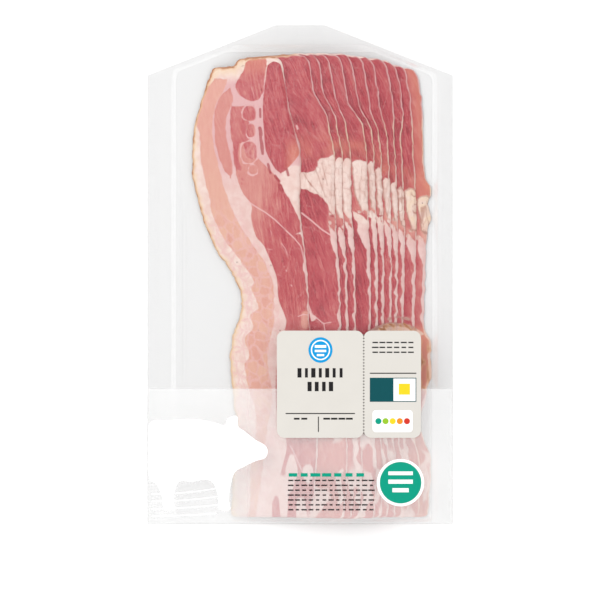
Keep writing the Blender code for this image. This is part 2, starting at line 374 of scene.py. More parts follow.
hamOutline = (
    (-27.4, 101.4), (-26.0, 105.6), (-21, 106.4), (-16.9, 106.6), (-16.9, 102.9), (-18.2, 92.6),
    (-20.0, 87.4), (-24.1, 86.0), (-29.6, 88.6), (-31.8, 93.1), (-30.6, 96.5), (-28.4, 99.4),
)
upperLobeOutline = (
    (-28.6, 80), (-27.2, 83), (-23.4, 83.4), (-21.8, 80.6), (-22.2, 76.8), (-25, 75.9), (-28.2, 77.2),
)
toothOutline = (  # the fat tooth between the long muscles
    (-9.6, 46.5), (-8.2, 50), (-4.6, 53.4), (-0.6, 53.2), (6, 52), (6, 24), (1.0, 25.5),
    (-1.6, 30.0), (-5.0, 36.8), (-8.4, 42.7),
)
topSeams = (  # radius and points of each white thread of gristle
    (0.1, (-1, -20.6), (1.6, -19.6), (4.2, -19.9)),
    (0.15, (-25.5, 36.0), (-21.2, 33.2), (-17, 30.7), (-12, 26.8), (-8.2, 22.9), (-3.2, 18.3)),
    (0.1, (-3.2, 18.3), (0.4, 14), (2.2, 6), (2.9, -4)),
    (-0.05, (-14.6, 21.8), (-14.1, 20.4), (-14.4, 19)),
    (0, (-9.3, 15.6), (-7.4, 13), (-6.2, 9.8)),
    (-0.05, (-16.2, 12.9), (-15, 12.4), (-13.5, 12.6)),
    (0.1, (-6.9, 2.3), (-6.7, 1.7)),
    (0.1, (-4.3, -5.1), (-4.1, -5.6)),
    (0, (-9.6, -33), (-6, -40), (-3.4, -47), (-4.5, -56)),
    (0.1, (-5, -84), (-2, -90), (1, -97)),
    (-0.1, (-24.4, 93), (-22.8, 89), (-22.9, 86.8)),
)
topSlits = (  # radius, unevenness and points of each dark split
    (0.4, 0, (-19.7, 81.8), (-19.6, 77.8)),
    (0.6, 0.4, (-19.7, 72.4), (-19.3, 66), (-18.4, 59.7)),
    (0.45, 0.3, (-15.8, 54.6), (-14.6, 50)),
    (0.5, 0.4, (-12.2, 48.6), (-10.4, 46.2)),
    (0.9, 0.5, (-10.0, 44), (-8.6, 41.4)),
    (0.5, 0, (-6.6, 51.9), (-5.8, 49)),
    (0.1, 0, (-11, 24.9), (-7.4, 21.9)),
    (-0.1, 0, (-22.4, 31.9), (-19.6, 30.7)),
)

# Every point of a slice holds these.  Three are packed into each vector that the material reads.
fieldSets = {
    "grain": ("grainX", "grainY", "grainZ"),
    "meat": ("lean", "tone", "lobules"),
    "marks": ("seam", "slit", "rind"),
    "hue": ("yellow", "pink", "orange"),
    "rim": ("crown", "crease", "crease"),
}


def startFields(x):
    shares = ("tone", "lobules", "crease", "yellow", "pink", "orange")
    fields = {name: np.zeros(x.shape) for name in shares}
    fields.update({name: np.full(x.shape, 20.0) for name in ("seam", "slit", "rind", "crown")})
    fields["lean"] = np.full(x.shape, -20.0)
    return fields


def topSliceFields(x, y, fromEdge, fromHead, fromLeft):
    made = startFields(x)

    def between(left, right, low, high):
        across = np.maximum(along(left, y) - x, x - along(right, y))
        return np.maximum(across, np.maximum(low - y, y - high))

    uneven = 0.75 * softNoise(x, y, 2.6, 21) + 0.35 * softNoise(x, y, 1.1, 22)
    ham = patch(x, y, hamOutline) + 0.6 * uneven
    upperLobe = patch(x, y, upperLobeOutline) + 0.5 * uneven
    smallLobe = roundBox(x, y, -24.4, 71.2, 2.3, 3.5, 2.2) + 0.5 * uneven
    oval = roundBox(x, y, -25.3, 60.4, 4.0, 5.6, 3.9) + 0.5 * uneven
    lowLobe = roundBox(x, y, -23.2, 51.9, 2.5, 2.5, 2.3) + 0.5 * uneven
    column = between(((40, -28.0), (50, -31.4), (62, -33), (76, -34.6), (84, -33.4)),
                     ((40, -24.6), (62, -27.0), (70, -24.6), (84, -27.4)), 44, 83) + 0.5 * uneven
    lobes = (upperLobe, smallLobe, oval, lowLobe)
    column = np.maximum(column, 0.2 - np.minimum.reduce(lobes))
    lace = trail(x, y, [(-28, 63), (-26.6, 60.6), (-27.4, 58.4), (-25.6, 57.4)], -0.1)
    lace = np.minimum(lace, trail(x, y, [(-25.8, 64.6), (-25, 62), (-23.4, 61.2)], -0.15))
    tooth = patch(x, y, toothOutline) + 0.35 * softNoise(x, y, 1.8, 17)
    edgeStrip = 0.55 + 1.3 * np.exp(-(((y - 3) / 4) ** 2)) + 0.3 * lineNoise(y, 4, 7)
    inner = np.maximum.reduce([
        along(innerLeft, y) - x, edgeStrip - fromEdge, 0.7 * (y + x - 36.5), 0.2 - tooth,
        -patch(x, y, [(-1.8, 20), (0.2, 19.6), (2.4, 15), (3.4, 9), (6, 9), (6, 23)]) - 0.3 * uneven,
    ])
    patchy = 2.4 * softNoise(x * 1.5, y * 0.8, 6, 12) - 0.1
    inner = np.maximum(inner, np.where(y < -70, patchy - 3 * ramp(-96, -74, y), -9))
    depth = 0.3 + 0.34 * ramp(-26, -8, x - 0.25 * (y - 20))
    outerBand = between(bandOuter, bandInner, -125, 97) + 0.5 * uneven
    secondBand = between(secondLeft, secondRight, 48, 93.5) + 0.4 * uneven
    finger = between(fingerLeft, fingerRight, 50.1, 105.2)
    shapes = [  # distance, tone from pale to deep, orange share, lobules
        (outerBand, 0.1 + 0.07 * ramp(30, 80, y), 0.1, ramp(42, 20, y)),
        (secondBand, 0.3, 0.05, 0),
        (ham, 0.52, 0.75 * ramp(95, 105, y), 0),
        (upperLobe, 0.52, 0, 0),
        (smallLobe, 0.5, 0, 0),
        (oval, 0.48, 0, 0.35),
        (lowLobe, 0.44, 0, 0),
        (column, 0.46, 0, 0),
        (finger, 0.72, 0.9 * ramp(70, 60, y) * ramp(-9, -3, x), 0),
        (inner, depth, 0.24 * ramp(20, -60, y), 0.3 * ramp(-10, -60, y)),
    ]
    for distance, *looks in shapes:
        wins = -distance > made["lean"]
        for name, look in zip(("tone", "orange", "lobules"), looks):
            made[name] = np.where(wins, look, made[name])
        made["lean"] = np.maximum(made["lean"], -distance)
    made["lean"] = made["lean"] + 0.18 * ramp(40, 50, y)
    salmon = ramp(0.8, -1.0, roundBox(x, y, 2.1, -22.5, 2.1, 4.5, 2.0) + 0.8 * uneven)
    made["tone"] = made["tone"] * (1 - salmon) + 0.2 * salmon
    made["tone"] = made["tone"] + 0.07 * softNoise(x * 1.6, y * 0.5, 4, 23) * (made["tone"] > 0.3)
    made["seam"] = np.minimum.reduce([
        lace, *[abs(lobe) - 0.08 + 0.35 * uneven for lobe in lobes],
        *[trail(x, y, points, radius) for radius, *points in topSeams],
    ])
    made["slit"] = np.minimum.reduce([
        trail(x, y, points, radius) + share * uneven for radius, share, *points in topSlits
    ])
    made["rind"] = fromLeft
    crusted = 0.5 * softNoise(x, y, 2.2, 3) + 0.3 * softNoise(x, y, 0.9, 4)
    brownEdge = fromLeft + 0.45 + 1.2 * ramp(20, -50, y)
    fromCrown = trail(x, y, topSliceCrown, 0)
    made["crown"] = np.minimum(fromCrown - 0.3, brownEdge) + crusted
    byRind = ramp(3.2, 0.6, fromLeft + 1.2 * uneven) * ramp(96, 74, y)
    byCrown = ramp(6.5, 1.5, fromCrown + uneven) * ramp(-20, -28, x)
    made["yellow"] = 0.75 * np.maximum(byRind, byCrown)
    pink = ramp(-1.0, 0.8, x - along(bandOuter, y) - 2.5 * ramp(30, 10, y)) * ramp(99, 94, y)
    pink = pink * (1 - 0.75 * ramp(0.8, -0.3, tooth)) * (1 - 0.65 * ramp(60, 40, y))
    made["pink"] = pink * ramp(2, 6, fromCrown)
    made["crease"] = 0.5 * ramp(0.9, 0.1, fromEdge) * ramp(88, 80, y) * ramp(18, 30, y)
    return made


# Each lower slice shows a strip beside the slice above: where its white fat finger starts
# and ends, the second row of fat below it, and how deep the lean is above and below them.
strips = {
    "fingerTop": (0, 57.6, 57.0, 56.4, 55.6, 54.6, 52.0, 46.9, 45.0, 42.6, 42, 38.5),
    "fingerEnd": (0, 30.0, 27.6, 28.0, 31.4, 32.0, 29.6, 27.3, 26.6, 23.5, 21.5, 20.5),
    "secondTop": (0, 22.5, 22, 24, 28.5, 28, 26.5, 24.5, 22.5, 20, 18, 17),
    "secondEnd": (0, 8, 7, 8, 9, 8, 8, 7, 6, 5, 5, 4),
    "upperTone": (0, 0.64, 0.78, 0.84, 0.8, 0.8, 0.8, 0.76, 0.78, 0.78, 0.76, 0.6),
    "lowerTone": (0, 0.63, 0.74, 0.74, 0.76, 0.7, 0.7, 0.62, 0.6, 0.56, 0.58, 0.46),
}
wideFingerOutline = (  # the second slice shows more of its finger
    (-1, 50.0), (4.8, 50.3), (7.9, 51.7), (8.6, 55.8), (10.8, 57.5), (13.6, 57.2),
    (18, 57.6), (18.3, 34), (16.6, 29.6), (15.4, 29.8), (13.5, 33.9), (9.6, 38.8),
    (4.8, 41.2), (-1, 43.4),
)
smallFatOutline = ((4, -14), (5.2, -18.5), (8, -21), (5.8, -23), (4.8, -20))
wideSeams = (
    (0.2, (0.8, 30.4), (5.6, 26.6), (10.7, 22.2), (14.4, 19.8), (16.6, 18.4)),
    (-0.15, (1, 17), (3.4, 16.2), (6.2, 18)),
    (-0.2, (4.2, 26.4), (4.6, 24.2), (6.2, 22.4)),
    (0.1, (3.6, -13.7), (6.1, -19.8), (11.6, -24.1), (15.3, -23.4)),
    (0.1, (11.6, -24.1), (12.2, -27.2)),
    (0.3, (-1.7, 73.4), (-1.2, 71.8)),
)
wideCreases = (
    ((1.6, 50), (5.8, 43.4)), ((7.6, 52), (12.6, 38)), ((10.6, 55), (13.4, 44)), ((4, 46), (9, 40)),
)
rindArcs = (  # a curled piece of rind beside the label, as radius and points
    (0.75, (34.5, -28), (39.5, -25.4), (46, -24.2), (52, -24.8), (57, -27)),
    (0.3, (44, -21.8), (49, -20.8), (54, -22)),
)
rindLumpOutline = ((35, -30), (37, -27.2), (41, -25.2), (46, -24), (52, -24.2), (57, -26.4), (60, -30))


def stripFields(k, x, y, fromEdge, fromHead, fromLeft):
    made = startFields(x)
    last = slices["count"] - 1
    shown = np.maximum(rightEdge(k, y) - rightEdge(k - 1, y), 1)
    across = fromEdge / (np.minimum(shown, 6.5) if k == 1 else shown)  # 0 at the lean edge
    top, end = strips["fingerTop"][k], strips["fingerEnd"][k]
    secondTop, secondEnd = strips["secondTop"][k], strips["secondEnd"][k]
    wobble = softNoise(fromEdge, y, 2.0, 180 + k)
    wander = lineNoise(y, 5, 190 + k)
    foot = ramp(-64, -80, y)

    # the pale skin along the lean edge, wide and wavy low down where the edge is fat
    skin = 0.5 + 0.12 * ramp(80, 96, y) + 0.2 * lineNoise(y, 2.5, 200 + k)
    wavy = 0.95 + 0.6 * lineNoise(y, 4.2, 220 + k) + 0.35 * lineNoise(y, 1.8, 230 + k)
    lean = fromEdge - np.where(y > 12, skin, wavy * ramp(-75, -60, y) + 0.3)

    # the white finger: rounded head, left side drawn in towards a narrow tip
    down = np.clip((top - y) / (top - end), 0, 1)
    high = top + 0.9 - 5.5 * (across - 0.42) ** 2 + 0.6 * wobble
    low = end + 6.5 * np.clip(across - 0.25, 0, 1) ** 2 + 0.6 * wobble
    widest = 1.2 if k < 4 else 0.96
    leftSide = shown * (widest - (0.42 + 0.15 * wander) * down**2.2) + 0.3 * wobble
    finger = np.maximum.reduce([0.8 * (y - high), 0.8 * (low - y), fromEdge - leftSide])
    if k == 1:
        finger = patch(x, y, wideFingerOutline) + 0.45 * wobble
    lean = np.minimum(lean, finger)

    # the second row, which tapers down into the pale edge, and small bits between the rows
    taper = ramp(secondEnd - 1, secondTop - 1, y) ** 0.65
    rowWidth = 3.4 if k == 1 else shown - 0.6
    reach = 0.5 + rowWidth * taper * (0.85 + 0.2 * wander) + 0.3 * wobble
    secondHigh = secondTop + 5.2 * (across - 0.5) + 1.1 - 3.6 * (across - 0.55) ** 2 + 0.5 * wobble
    lean = np.minimum(lean, np.maximum(fromEdge - reach, 0.8 * (y - secondHigh)))
    inGap = ramp(secondTop - 2.5, secondTop + 1.5, y) * ramp(end + 4, end - 0.5, y)
    if k == 1:
        inGap = inGap * ramp(5, 3, fromEdge)
    turned = (x + 0.7 * y, y - 0.5 * x)
    bits = 0.5 - 2.1 * softNoise(0.9 * x + 0.7 * y, 0.5 * y - 0.3 * x, 1.7, 250 + k)
    lean = np.minimum(lean, bits + 4 * (1 - inGap))
    if k < 4:
        lean = np.minimum(lean, roundBox(fromEdge, y, 0.4, 3.2, 1.2, 3.2, 1.2) + 0.25 * wobble)
    lean = np.minimum(lean, fromHead - 0.75 - 0.45 * lineNoise(x, 1.9, 240 + k))
    streaks = 1.9 * softNoise(fromEdge * 1.4 + 2 * wander, y * 0.42, 4.2, 260 + k) + 0.5
    lean = lean * (1 - foot) + np.minimum(lean, streaks) * foot

    # how deep and how orange the lean is
    tone = np.where(y > (top + end) / 2, strips["upperTone"][k], strips["lowerTone"][k])
    inFinger = ramp(top + 0.5, top - 3, y) * ramp(end - 2, end + 2, y)
    tone = tone * (1 - 0.45 * inFinger * (k != 1)) * (1 - 0.4 * foot) * (1 - 0.42 * inGap)
    tone = tone + 0.05 * softNoise(across * 2, y, 6, 280 + k) + 0.08 * softNoise(x * 2, y * 0.6, 3, 290 + k)
    # painted shade: each strip's lean is drawn deeper towards its left side, where the slice above overlaps
    # it
    shadeUnderUpperSlice = 0.1 if k == 1 else 0.26
    made["tone"] = tone + shadeUnderUpperSlice * (across - 0.5) * (1 - foot) - 0.07 * ramp(84, 96, y) * (k > 1)
    orange = 0.35 * np.exp(-(((y - top - 6) / 6) ** 2)) * (1 + softNoise(x, y, 4, 295 + k))
    orange = orange + 0.15 * inFinger * (k != 1) + 0.35 * foot
    curl = np.zeros(x.shape)
    if k == last:
        curl = ramp(-23, -29, y) * ramp(-62, -56, y)
        orange = orange + (0.9 - 0.6 * across) * ramp(34, 40, y) + curl
        made["tone"] = made["tone"] * (1 - 0.35 * curl)
    made["orange"] = orange
    made["slit"] = 1.1 - 1.5 * softNoise(*turned, 1.3, 255 + k) + 5 * (1 - inGap)
    if k == 1:
        lean = np.minimum(lean, patch(x, y, smallFatOutline) + 0.2 * wobble)
        made["seam"] = np.minimum.reduce([trail(x, y, points, radius) for radius, *points in wideSeams])
        # painted shade in the creases of the second slice's wide finger
        for start, stop in wideCreases:
            made["crease"] = made["crease"] + 0.55 * ramp(0.55, 0, pill(x, y, start, stop, 0))

    # darker fat: painted shade in folds, in the gap between the rows and along each finger's left side under
    # the slice above, darker near the strip's own edge, and brown cracks and outlines
    lengthways = softNoise(fromEdge * 2.4 + 0.25 * y, y * 0.25, 1.6, 310 + k)
    foldShade = 0.32 * ramp(0.25, 0.85, lengthways) * inFinger + 0.5 * ramp(0, 0.7, lengthways) * inGap
    # painted shade along the finger's left side, where the slice above overlaps it
    leftSideShade = ramp(0.9, 0.1, leftSide - fromEdge) * inFinger * (k != 1)
    nearRight = ramp(0.35, 0, fromEdge) * ramp(top + 3, top - 1, y) * ramp(12, 18, y)
    made["crease"] = made["crease"] + foldShade + 0.7 * leftSideShade + 0.4 * nearRight
    made["crease"] = made["crease"] + 0.3 * ramp(0.8, 0.2, fromEdge) * ramp(78, 68, y) * ramp(30, 50, y)
    cracks = ramp(0.16, 0.02, abs(softNoise(x * 1.2, y * 0.6, 2.2, 330 + k))) * inFinger
    outline = ramp(0.55, 0.1, abs(finger + 0.25)) * (0.75 if k > 8 else 0.15)
    made["crease"] = np.clip(made["crease"] + cracks * (0.75 if k > 7 else 0.3) + outline, 0, 1)

    # the curled rind beside the label
    arc, smallArc = [trail(x, y, points, radius) for radius, *points in rindArcs]
    arc = np.minimum(arc, smallArc + 0.4 * wobble)
    made["crease"] = np.maximum(made["crease"], 0.8 * ramp(0.5, 0, arc + 0.4 * wobble))
    lump = patch(x, y, rindLumpOutline) + 0.3 * wobble
    strokes = softNoise(0.9 * x + 0.9 * y, 0.5 * y - 0.4 * x, 1.3, 350)
    made["crown"] = np.where(lump < 0.4, 1.15 - 1.5 * strokes, made["crown"])
    made["lean"] = np.minimum(lean, np.minimum(arc + 0.4 * wobble, lump))

    # yellow, pink and browned fat
    yellow = 0.55 * ramp(49, 56, x) * ramp(15, 22, y) * ramp(50, 42, y) * (1 + 0.8 * wobble)
    yellow = yellow + 0.9 * curl + 0.8 * ramp(0.5, -0.3, lump)
    yellow = yellow + 0.6 * ramp(1.6, 0, fromEdge) * foot * (k > last - 2)
    made["yellow"] = yellow + 0.6 * ramp(1.2, 0.5, fromEdge) * ramp(84, 72, y) * ramp(54, 60, y)
    pink = ramp(1.6, 0.8, fromEdge) * ramp(70, 84, y)
    made["pink"] = pink + 0.5 * ramp(28, 20, y) * (1 - 0.5 * foot)
    if k == last:
        made["crown"] = 1.5 - 1.6 * softNoise(x * 1.2, y * 0.6, 2.0, 340) + 4 * (1 - curl)
    if k < 6:
        atRind = np.minimum(fromHead + 0.15, fromLeft + 0.1)
        made["crown"] = atRind + 0.4 * softNoise(x, y, 2.2, 300 + k) + 3 * ramp(-6, 6, x)
    return made


def sliceColumns(k):  # distances from the lean edge, close together where the slice shows
    rounding = [0, 0.06, 0.18, 0.36, 0.6]
    if k == 0:
        return rounding + [0.9], 112
    y = np.linspace(slices["foot"], headY(k), 60)
    reach = float((rightEdge(k, y) - rightEdge(k - 1, y)).max()) + 1.5
    return rounding + list(np.arange(0.95, reach, slices["columnSpacing"])), 7


def endWave(k, x):  # the cut ends are never quite straight
    return 0.5 * lineNoise(x, 5.2, 400 + k) + 0.32 * lineNoise(x, 2.1, 420 + k)


def waved(k, x, y):
    atHead, atFoot = ramp(9, 0, headY(k) - y), ramp(6, 0, y - slices["foot"])
    bumps = 0.7 * lineNoise(x, 1.9, 440 + k) * ramp(-12, -22, x) * ramp(14, 7, headY(k) - y)
    return y + bumps + atHead * (endWave(k, x) - 0.3) + atFoot * (endWave(k, x + 500) + 0.8) * 0.6


def makeSlice(k, material):
    # rows along the slice, close together at its ends
    foot, head = slices["foot"], headY(k)
    ends = np.array([0, 0.05, 0.15, 0.3, 0.55, 0.9, 1.3, 1.8])
    middle = np.arange(foot + 2.3, head - 2, slices["rowSpacing"])
    rows = np.concatenate([foot + ends, middle, head - ends[::-1]])
    left, right = sliceSides(k, rows)
    width = right - left

    # points of the top face, by their distance from the lean edge
    fine, restCount = sliceColumns(k)
    fine = np.array(fine)[None, :] * np.minimum(1, 0.6 * width / max(fine))[:, None]
    rest = np.linspace(0, 1, restCount + 1)[1:]
    fromEdge = np.concatenate([fine, fine[:, -1:] + rest * (width[:, None] - fine[:, -1:])], axis=1)
    x = right[:, None] - fromEdge
    y = np.repeat(rows[:, None], x.shape[1], axis=1)
    fromHead, fromFoot, fromLeft = head - y, y - foot, x - left[:, None]
    if k == 0:
        made = topSliceFields(x, y, fromEdge, fromHead, fromLeft)
    else:
        made = stripFields(k, x, y, fromEdge, fromHead, fromLeft)

    # edges round off, and lean, slits and folds lie a little lower than fat
    fromEnds = np.minimum.reduce([fromLeft, fromHead, fromFoot])
    fromSide = np.minimum(fromEdge, fromEnds)
    drop = np.maximum(
        slices["edgeDrop"] * np.clip(1 - fromEdge / slices["edgeReach"], 0, 1) ** 1.8,
        slices["endDrop"] * np.clip(1 - fromEnds / slices["endReach"], 0, 1) ** 1.8,
    )
    relief = 0.1 * ramp(-0.3, 0.7, made["lean"]) + 0.06 * (softNoise(x, y, 2.2, 300 + k) + 1)
    relief = relief + 0.05 * (softNoise(x * 2.2, y * 0.3, 1, 320 + k) + 1)
    relief = relief + 0.12 * ramp(0.5, -0.2, made["slit"]) + 0.12 * made["crease"]
    z = undersideZ(k, x, y) + slices["thickness"] - drop - relief * ramp(0, 0.9, fromSide)

    # four points of the underside on each row, bent where the stack below it ends
    bend = np.clip(leftEdge(slices["count"] - 1, rows), left + 1, right - 0.6)
    below = np.stack([right, bend, (left + bend) / 2, left], axis=1)
    belowY = np.repeat(rows[:, None], 4, axis=1)
    belowZ = undersideZ(k, below, belowY) + 0.04 - np.array([0.25, 0, 0, 0])
    y, belowY = waved(k, x, y), waved(k, below, belowY)
    points = np.concatenate([
        np.stack([x, y, z], -1).reshape(-1, 3), np.stack([below, belowY, belowZ], -1).reshape(-1, 3),
    ])

    # faces of the top, the underside, the two long edges and the two ends
    rowCount, columnCount = x.shape
    base = rowCount * columnCount
    faces = []
    for r in range(rowCount - 1):
        a, b = r * columnCount, (r + 1) * columnCount
        p, q = base + 4 * r, base + 4 * (r + 1)
        faces += [(a + c, b + c, b + c + 1, a + c + 1) for c in range(columnCount - 1)]
        faces += [(p + c, p + c + 1, q + c + 1, q + c) for c in range(3)]
        faces.append((a, p, q, b))
        faces.append((a + columnCount - 1, b + columnCount - 1, q + 3, p + 3))
    last, end = base - columnCount, base + 4 * rowCount
    faces.append([*range(columnCount), base + 3, base + 2, base + 1, base])
    faces.append([*range(base - 1, last - 1, -1), *range(end - 4, end)])
    name = f"slice_{k + 1:02d}"
    mesh = bpy.data.meshes.new(name)
    mesh.from_pydata((points * mm).tolist(), [], faces)
    slant = 0.08 if k == 0 else 0.27  # the fibres run down to the right
    made["grainX"], made["grainY"], made["grainZ"] = fromEdge - slant * y, y, 0 * x + 20 * k
    for label, parts in fieldSets.items():
        top = np.stack([made[part] for part in parts], -1).reshape(rowCount, columnCount, 3)
        under = np.repeat(top[:, -1:, :], 4, axis=1)  # the underside takes the rind side's values
        values = np.concatenate([top.reshape(-1, 3), under.reshape(-1, 3)])
        attribute = mesh.attributes.new(label, "FLOAT_VECTOR", "POINT")
        attribute.data.foreach_set("vector", values.astype(np.float32).ravel())
    mesh.shade_smooth()
    mesh.set_sharp_from_angle(angle=math.radians(60))
    piece = newObject(name, mesh, material)
    finishPiece(piece, "bacon", f"bacon_slice_{k + 1:02d}")


meatNoise = {  # scale, detail and stretch of each noise, in millimetres on the slice
    "blotches": (0.22, 3, (1, 1, 1)),
    "fibres": (1.0, 4, (1.15, 0.075, 1)),  # muscle fibres are finer than this, which would not show
    "fine": (1.6, 3, (1, 1, 1)),
    "mottle": (2.4, 3, (1, 0.35, 1)),
}
meatCells = {  # scale, stretch, warp, feature and output of each cell pattern
    "lobuleEdge": (0.24, (1, 0.8, 1), 2.4, "DISTANCE_TO_EDGE", "Distance"),
    "lobuleTint": (0.24, (1, 0.8, 1), 2.4, "F1", "Color"),
    "threadEdge": (0.14, (1.6, 0.4, 1), 0, "DISTANCE_TO_EDGE", "Distance"),
    "speckDistance": (0.17, (1, 1, 1), 0, "F1", "Distance"),
    "speckTint": (0.17, (1, 1, 1), 0, "F1", "Color"),
}
leanStops = (  # lean meat from pale to deep
    (0.0, "#DAAF9A"), (0.2, "#CE9185"), (0.4, "#BC6966"),
    (0.6, "#B24E53"), (0.8, "#A83B45"), (1.0, "#8C2934"),
)
meatSteps = (  # name, what is done, and the numbers, colours or earlier steps it is done with
    ("ragged", "MULTIPLY", "fine", 0.9),
    ("raggedLean", "ADD", "lean", "ragged", -0.45),
    ("leanShare", "fade", "raggedLean", -0.28, 0.28),
    # lean meat: how deep its red is, from the slice's own tone, fibres, blotches and lobules
    ("depth", "fade", "tone", 0.25, 0.6, 0.15, 1.0),
    ("fibreShift", "SUBTRACT", "fibres", 0.5),
    ("fibreTone", "MULTIPLY", "fibreShift", 1.25, "depth"),
    ("blotchShift", "SUBTRACT", "blotches", 0.5),
    ("blotchTone", "MULTIPLY", "blotchShift", 0.6, "depth"),
    ("lobuleShift", "SUBTRACT", "lobuleTint", 0.5),
    ("lobuleTone", "MULTIPLY", "lobuleShift", 0.16, "lobules"),
    ("fineShift", "SUBTRACT", "fine", 0.5),
    ("fineTone", "MULTIPLY", "fineShift", 0.5, "depth"),
    ("deep", "ADD", "tone", "fibreTone", "blotchTone", "lobuleTone", "fineTone"),
    ("leanColour", "ramp", "deep"),
    ("orangeShare", "MULTIPLY", "orange", 0.75),
    ("cured", "mix", "orangeShare", "leanColour", "#CB7C67"),
    # pale flecks, partly painted highlights on the moist lean, and threads of fat in the lean
    ("flecksAndGlints", "fade", "mottle", 0.54, 0.7, 0.0, 0.3),
    ("threads", "fade", "threadEdge", 0.035, 0.005),
    ("threadShare", "fade", "fine", 0.45, 0.6, 0.0, 0.4),
    ("brokenThreads", "MULTIPLY", "threads", "threadShare"),
    ("pale", "MAXIMUM", "flecksAndGlints", "brokenThreads"),
    ("paleShare", "MULTIPLY", "pale", "depth"),
    ("fleckedAndGlinting", "mix", "paleShare", "cured", "#D3A29D"),
    # fat: cream, yellower by the rind, pinker by the lean, darker with painted shade in its folds and beside
    # the slice above, and with brown marks
    ("creamShare", "fade", "blotches", 0.35, 0.65),
    ("cream", "mix", "creamShare", "#E2CCC3", "#DABBB1"),
    ("waxy", "mix", "yellow", "cream", "#E0C5A8"),
    ("pinkShare", "MULTIPLY", "pink", 0.85),
    ("flushed", "mix", "pinkShare", "waxy", "#CE9B9D"),
    ("creased", "mix", "crease", "flushed", "#AC7A6D"),
    ("body", "mix", "leanShare", "creased", "fleckedAndGlinting"),
    # seams of gristle, lobule walls and dark splits
    ("seamShare", "fade", "seam", 0.4, 0.0, 0.0, 0.75),
    ("lobuleWall", "fade", "lobuleEdge", 0.15, 0.0),
    ("wallShare", "fade", "fine", 0.38, 0.6, 0.3, 0.8),
    ("lobuleSeam", "MULTIPLY", "lobuleWall", "lobules", "wallShare"),
    ("anySeam", "MAXIMUM", "seamShare", "lobuleSeam"),
    ("seamed", "mix", "anySeam", "body", "#D9ACAA"),
    ("slitShare", "fade", "slit", 0.4, -0.1, 0.0, 0.8),
    ("split", "mix", "slitShare", "seamed", "#9C3038"),
    # dry tan rind, browned where it was smoked most
    ("fineRind", "MULTIPLY", "fine", 0.8),
    ("raggedRind", "ADD", "rind", "fineRind"),
    ("rindShare", "fade", "raggedRind", 1.7, 0.8, 0.0, 0.75),
    ("skinned", "mix", "rindShare", "split", "#D3B086"),
    ("tanShare", "fade", "crown", 1.9, 0.8, 0.0, 0.6),
    ("tanned", "mix", "tanShare", "skinned", "#D2A27C"),
    ("brownShare", "fade", "crown", 0.95, 0.4, 0.0, 0.85),
    ("browned", "mix", "brownShare", "tanned", "#A86A42"),
    # a few specks of pepper
    ("speckSpot", "fade", "speckDistance", 0.075, 0.045),
    ("speckChosen", "fade", "speckRed", 0.72, 0.74),
    ("speckShare", "MULTIPLY", "speckSpot", "speckChosen", 0.7),
    ("peppered", "mix", "speckShare", "browned", "#622D27"),
    # lean is moister and smoother than fat, and only lean has ridges of fibre
    ("rough", "fade", "leanShare", 0.0, 1.0, 0.46, 0.34),
    ("ridges", "MULTIPLY", "fibres", "leanShare", 0.7),
    ("grit", "MULTIPLY", "fine", 0.4),
    ("height", "ADD", "ridges", "grit"),
)
meatGloss = {"IOR": 1.38, "Coat Weight": 0.12, "Coat Roughness": 0.2}


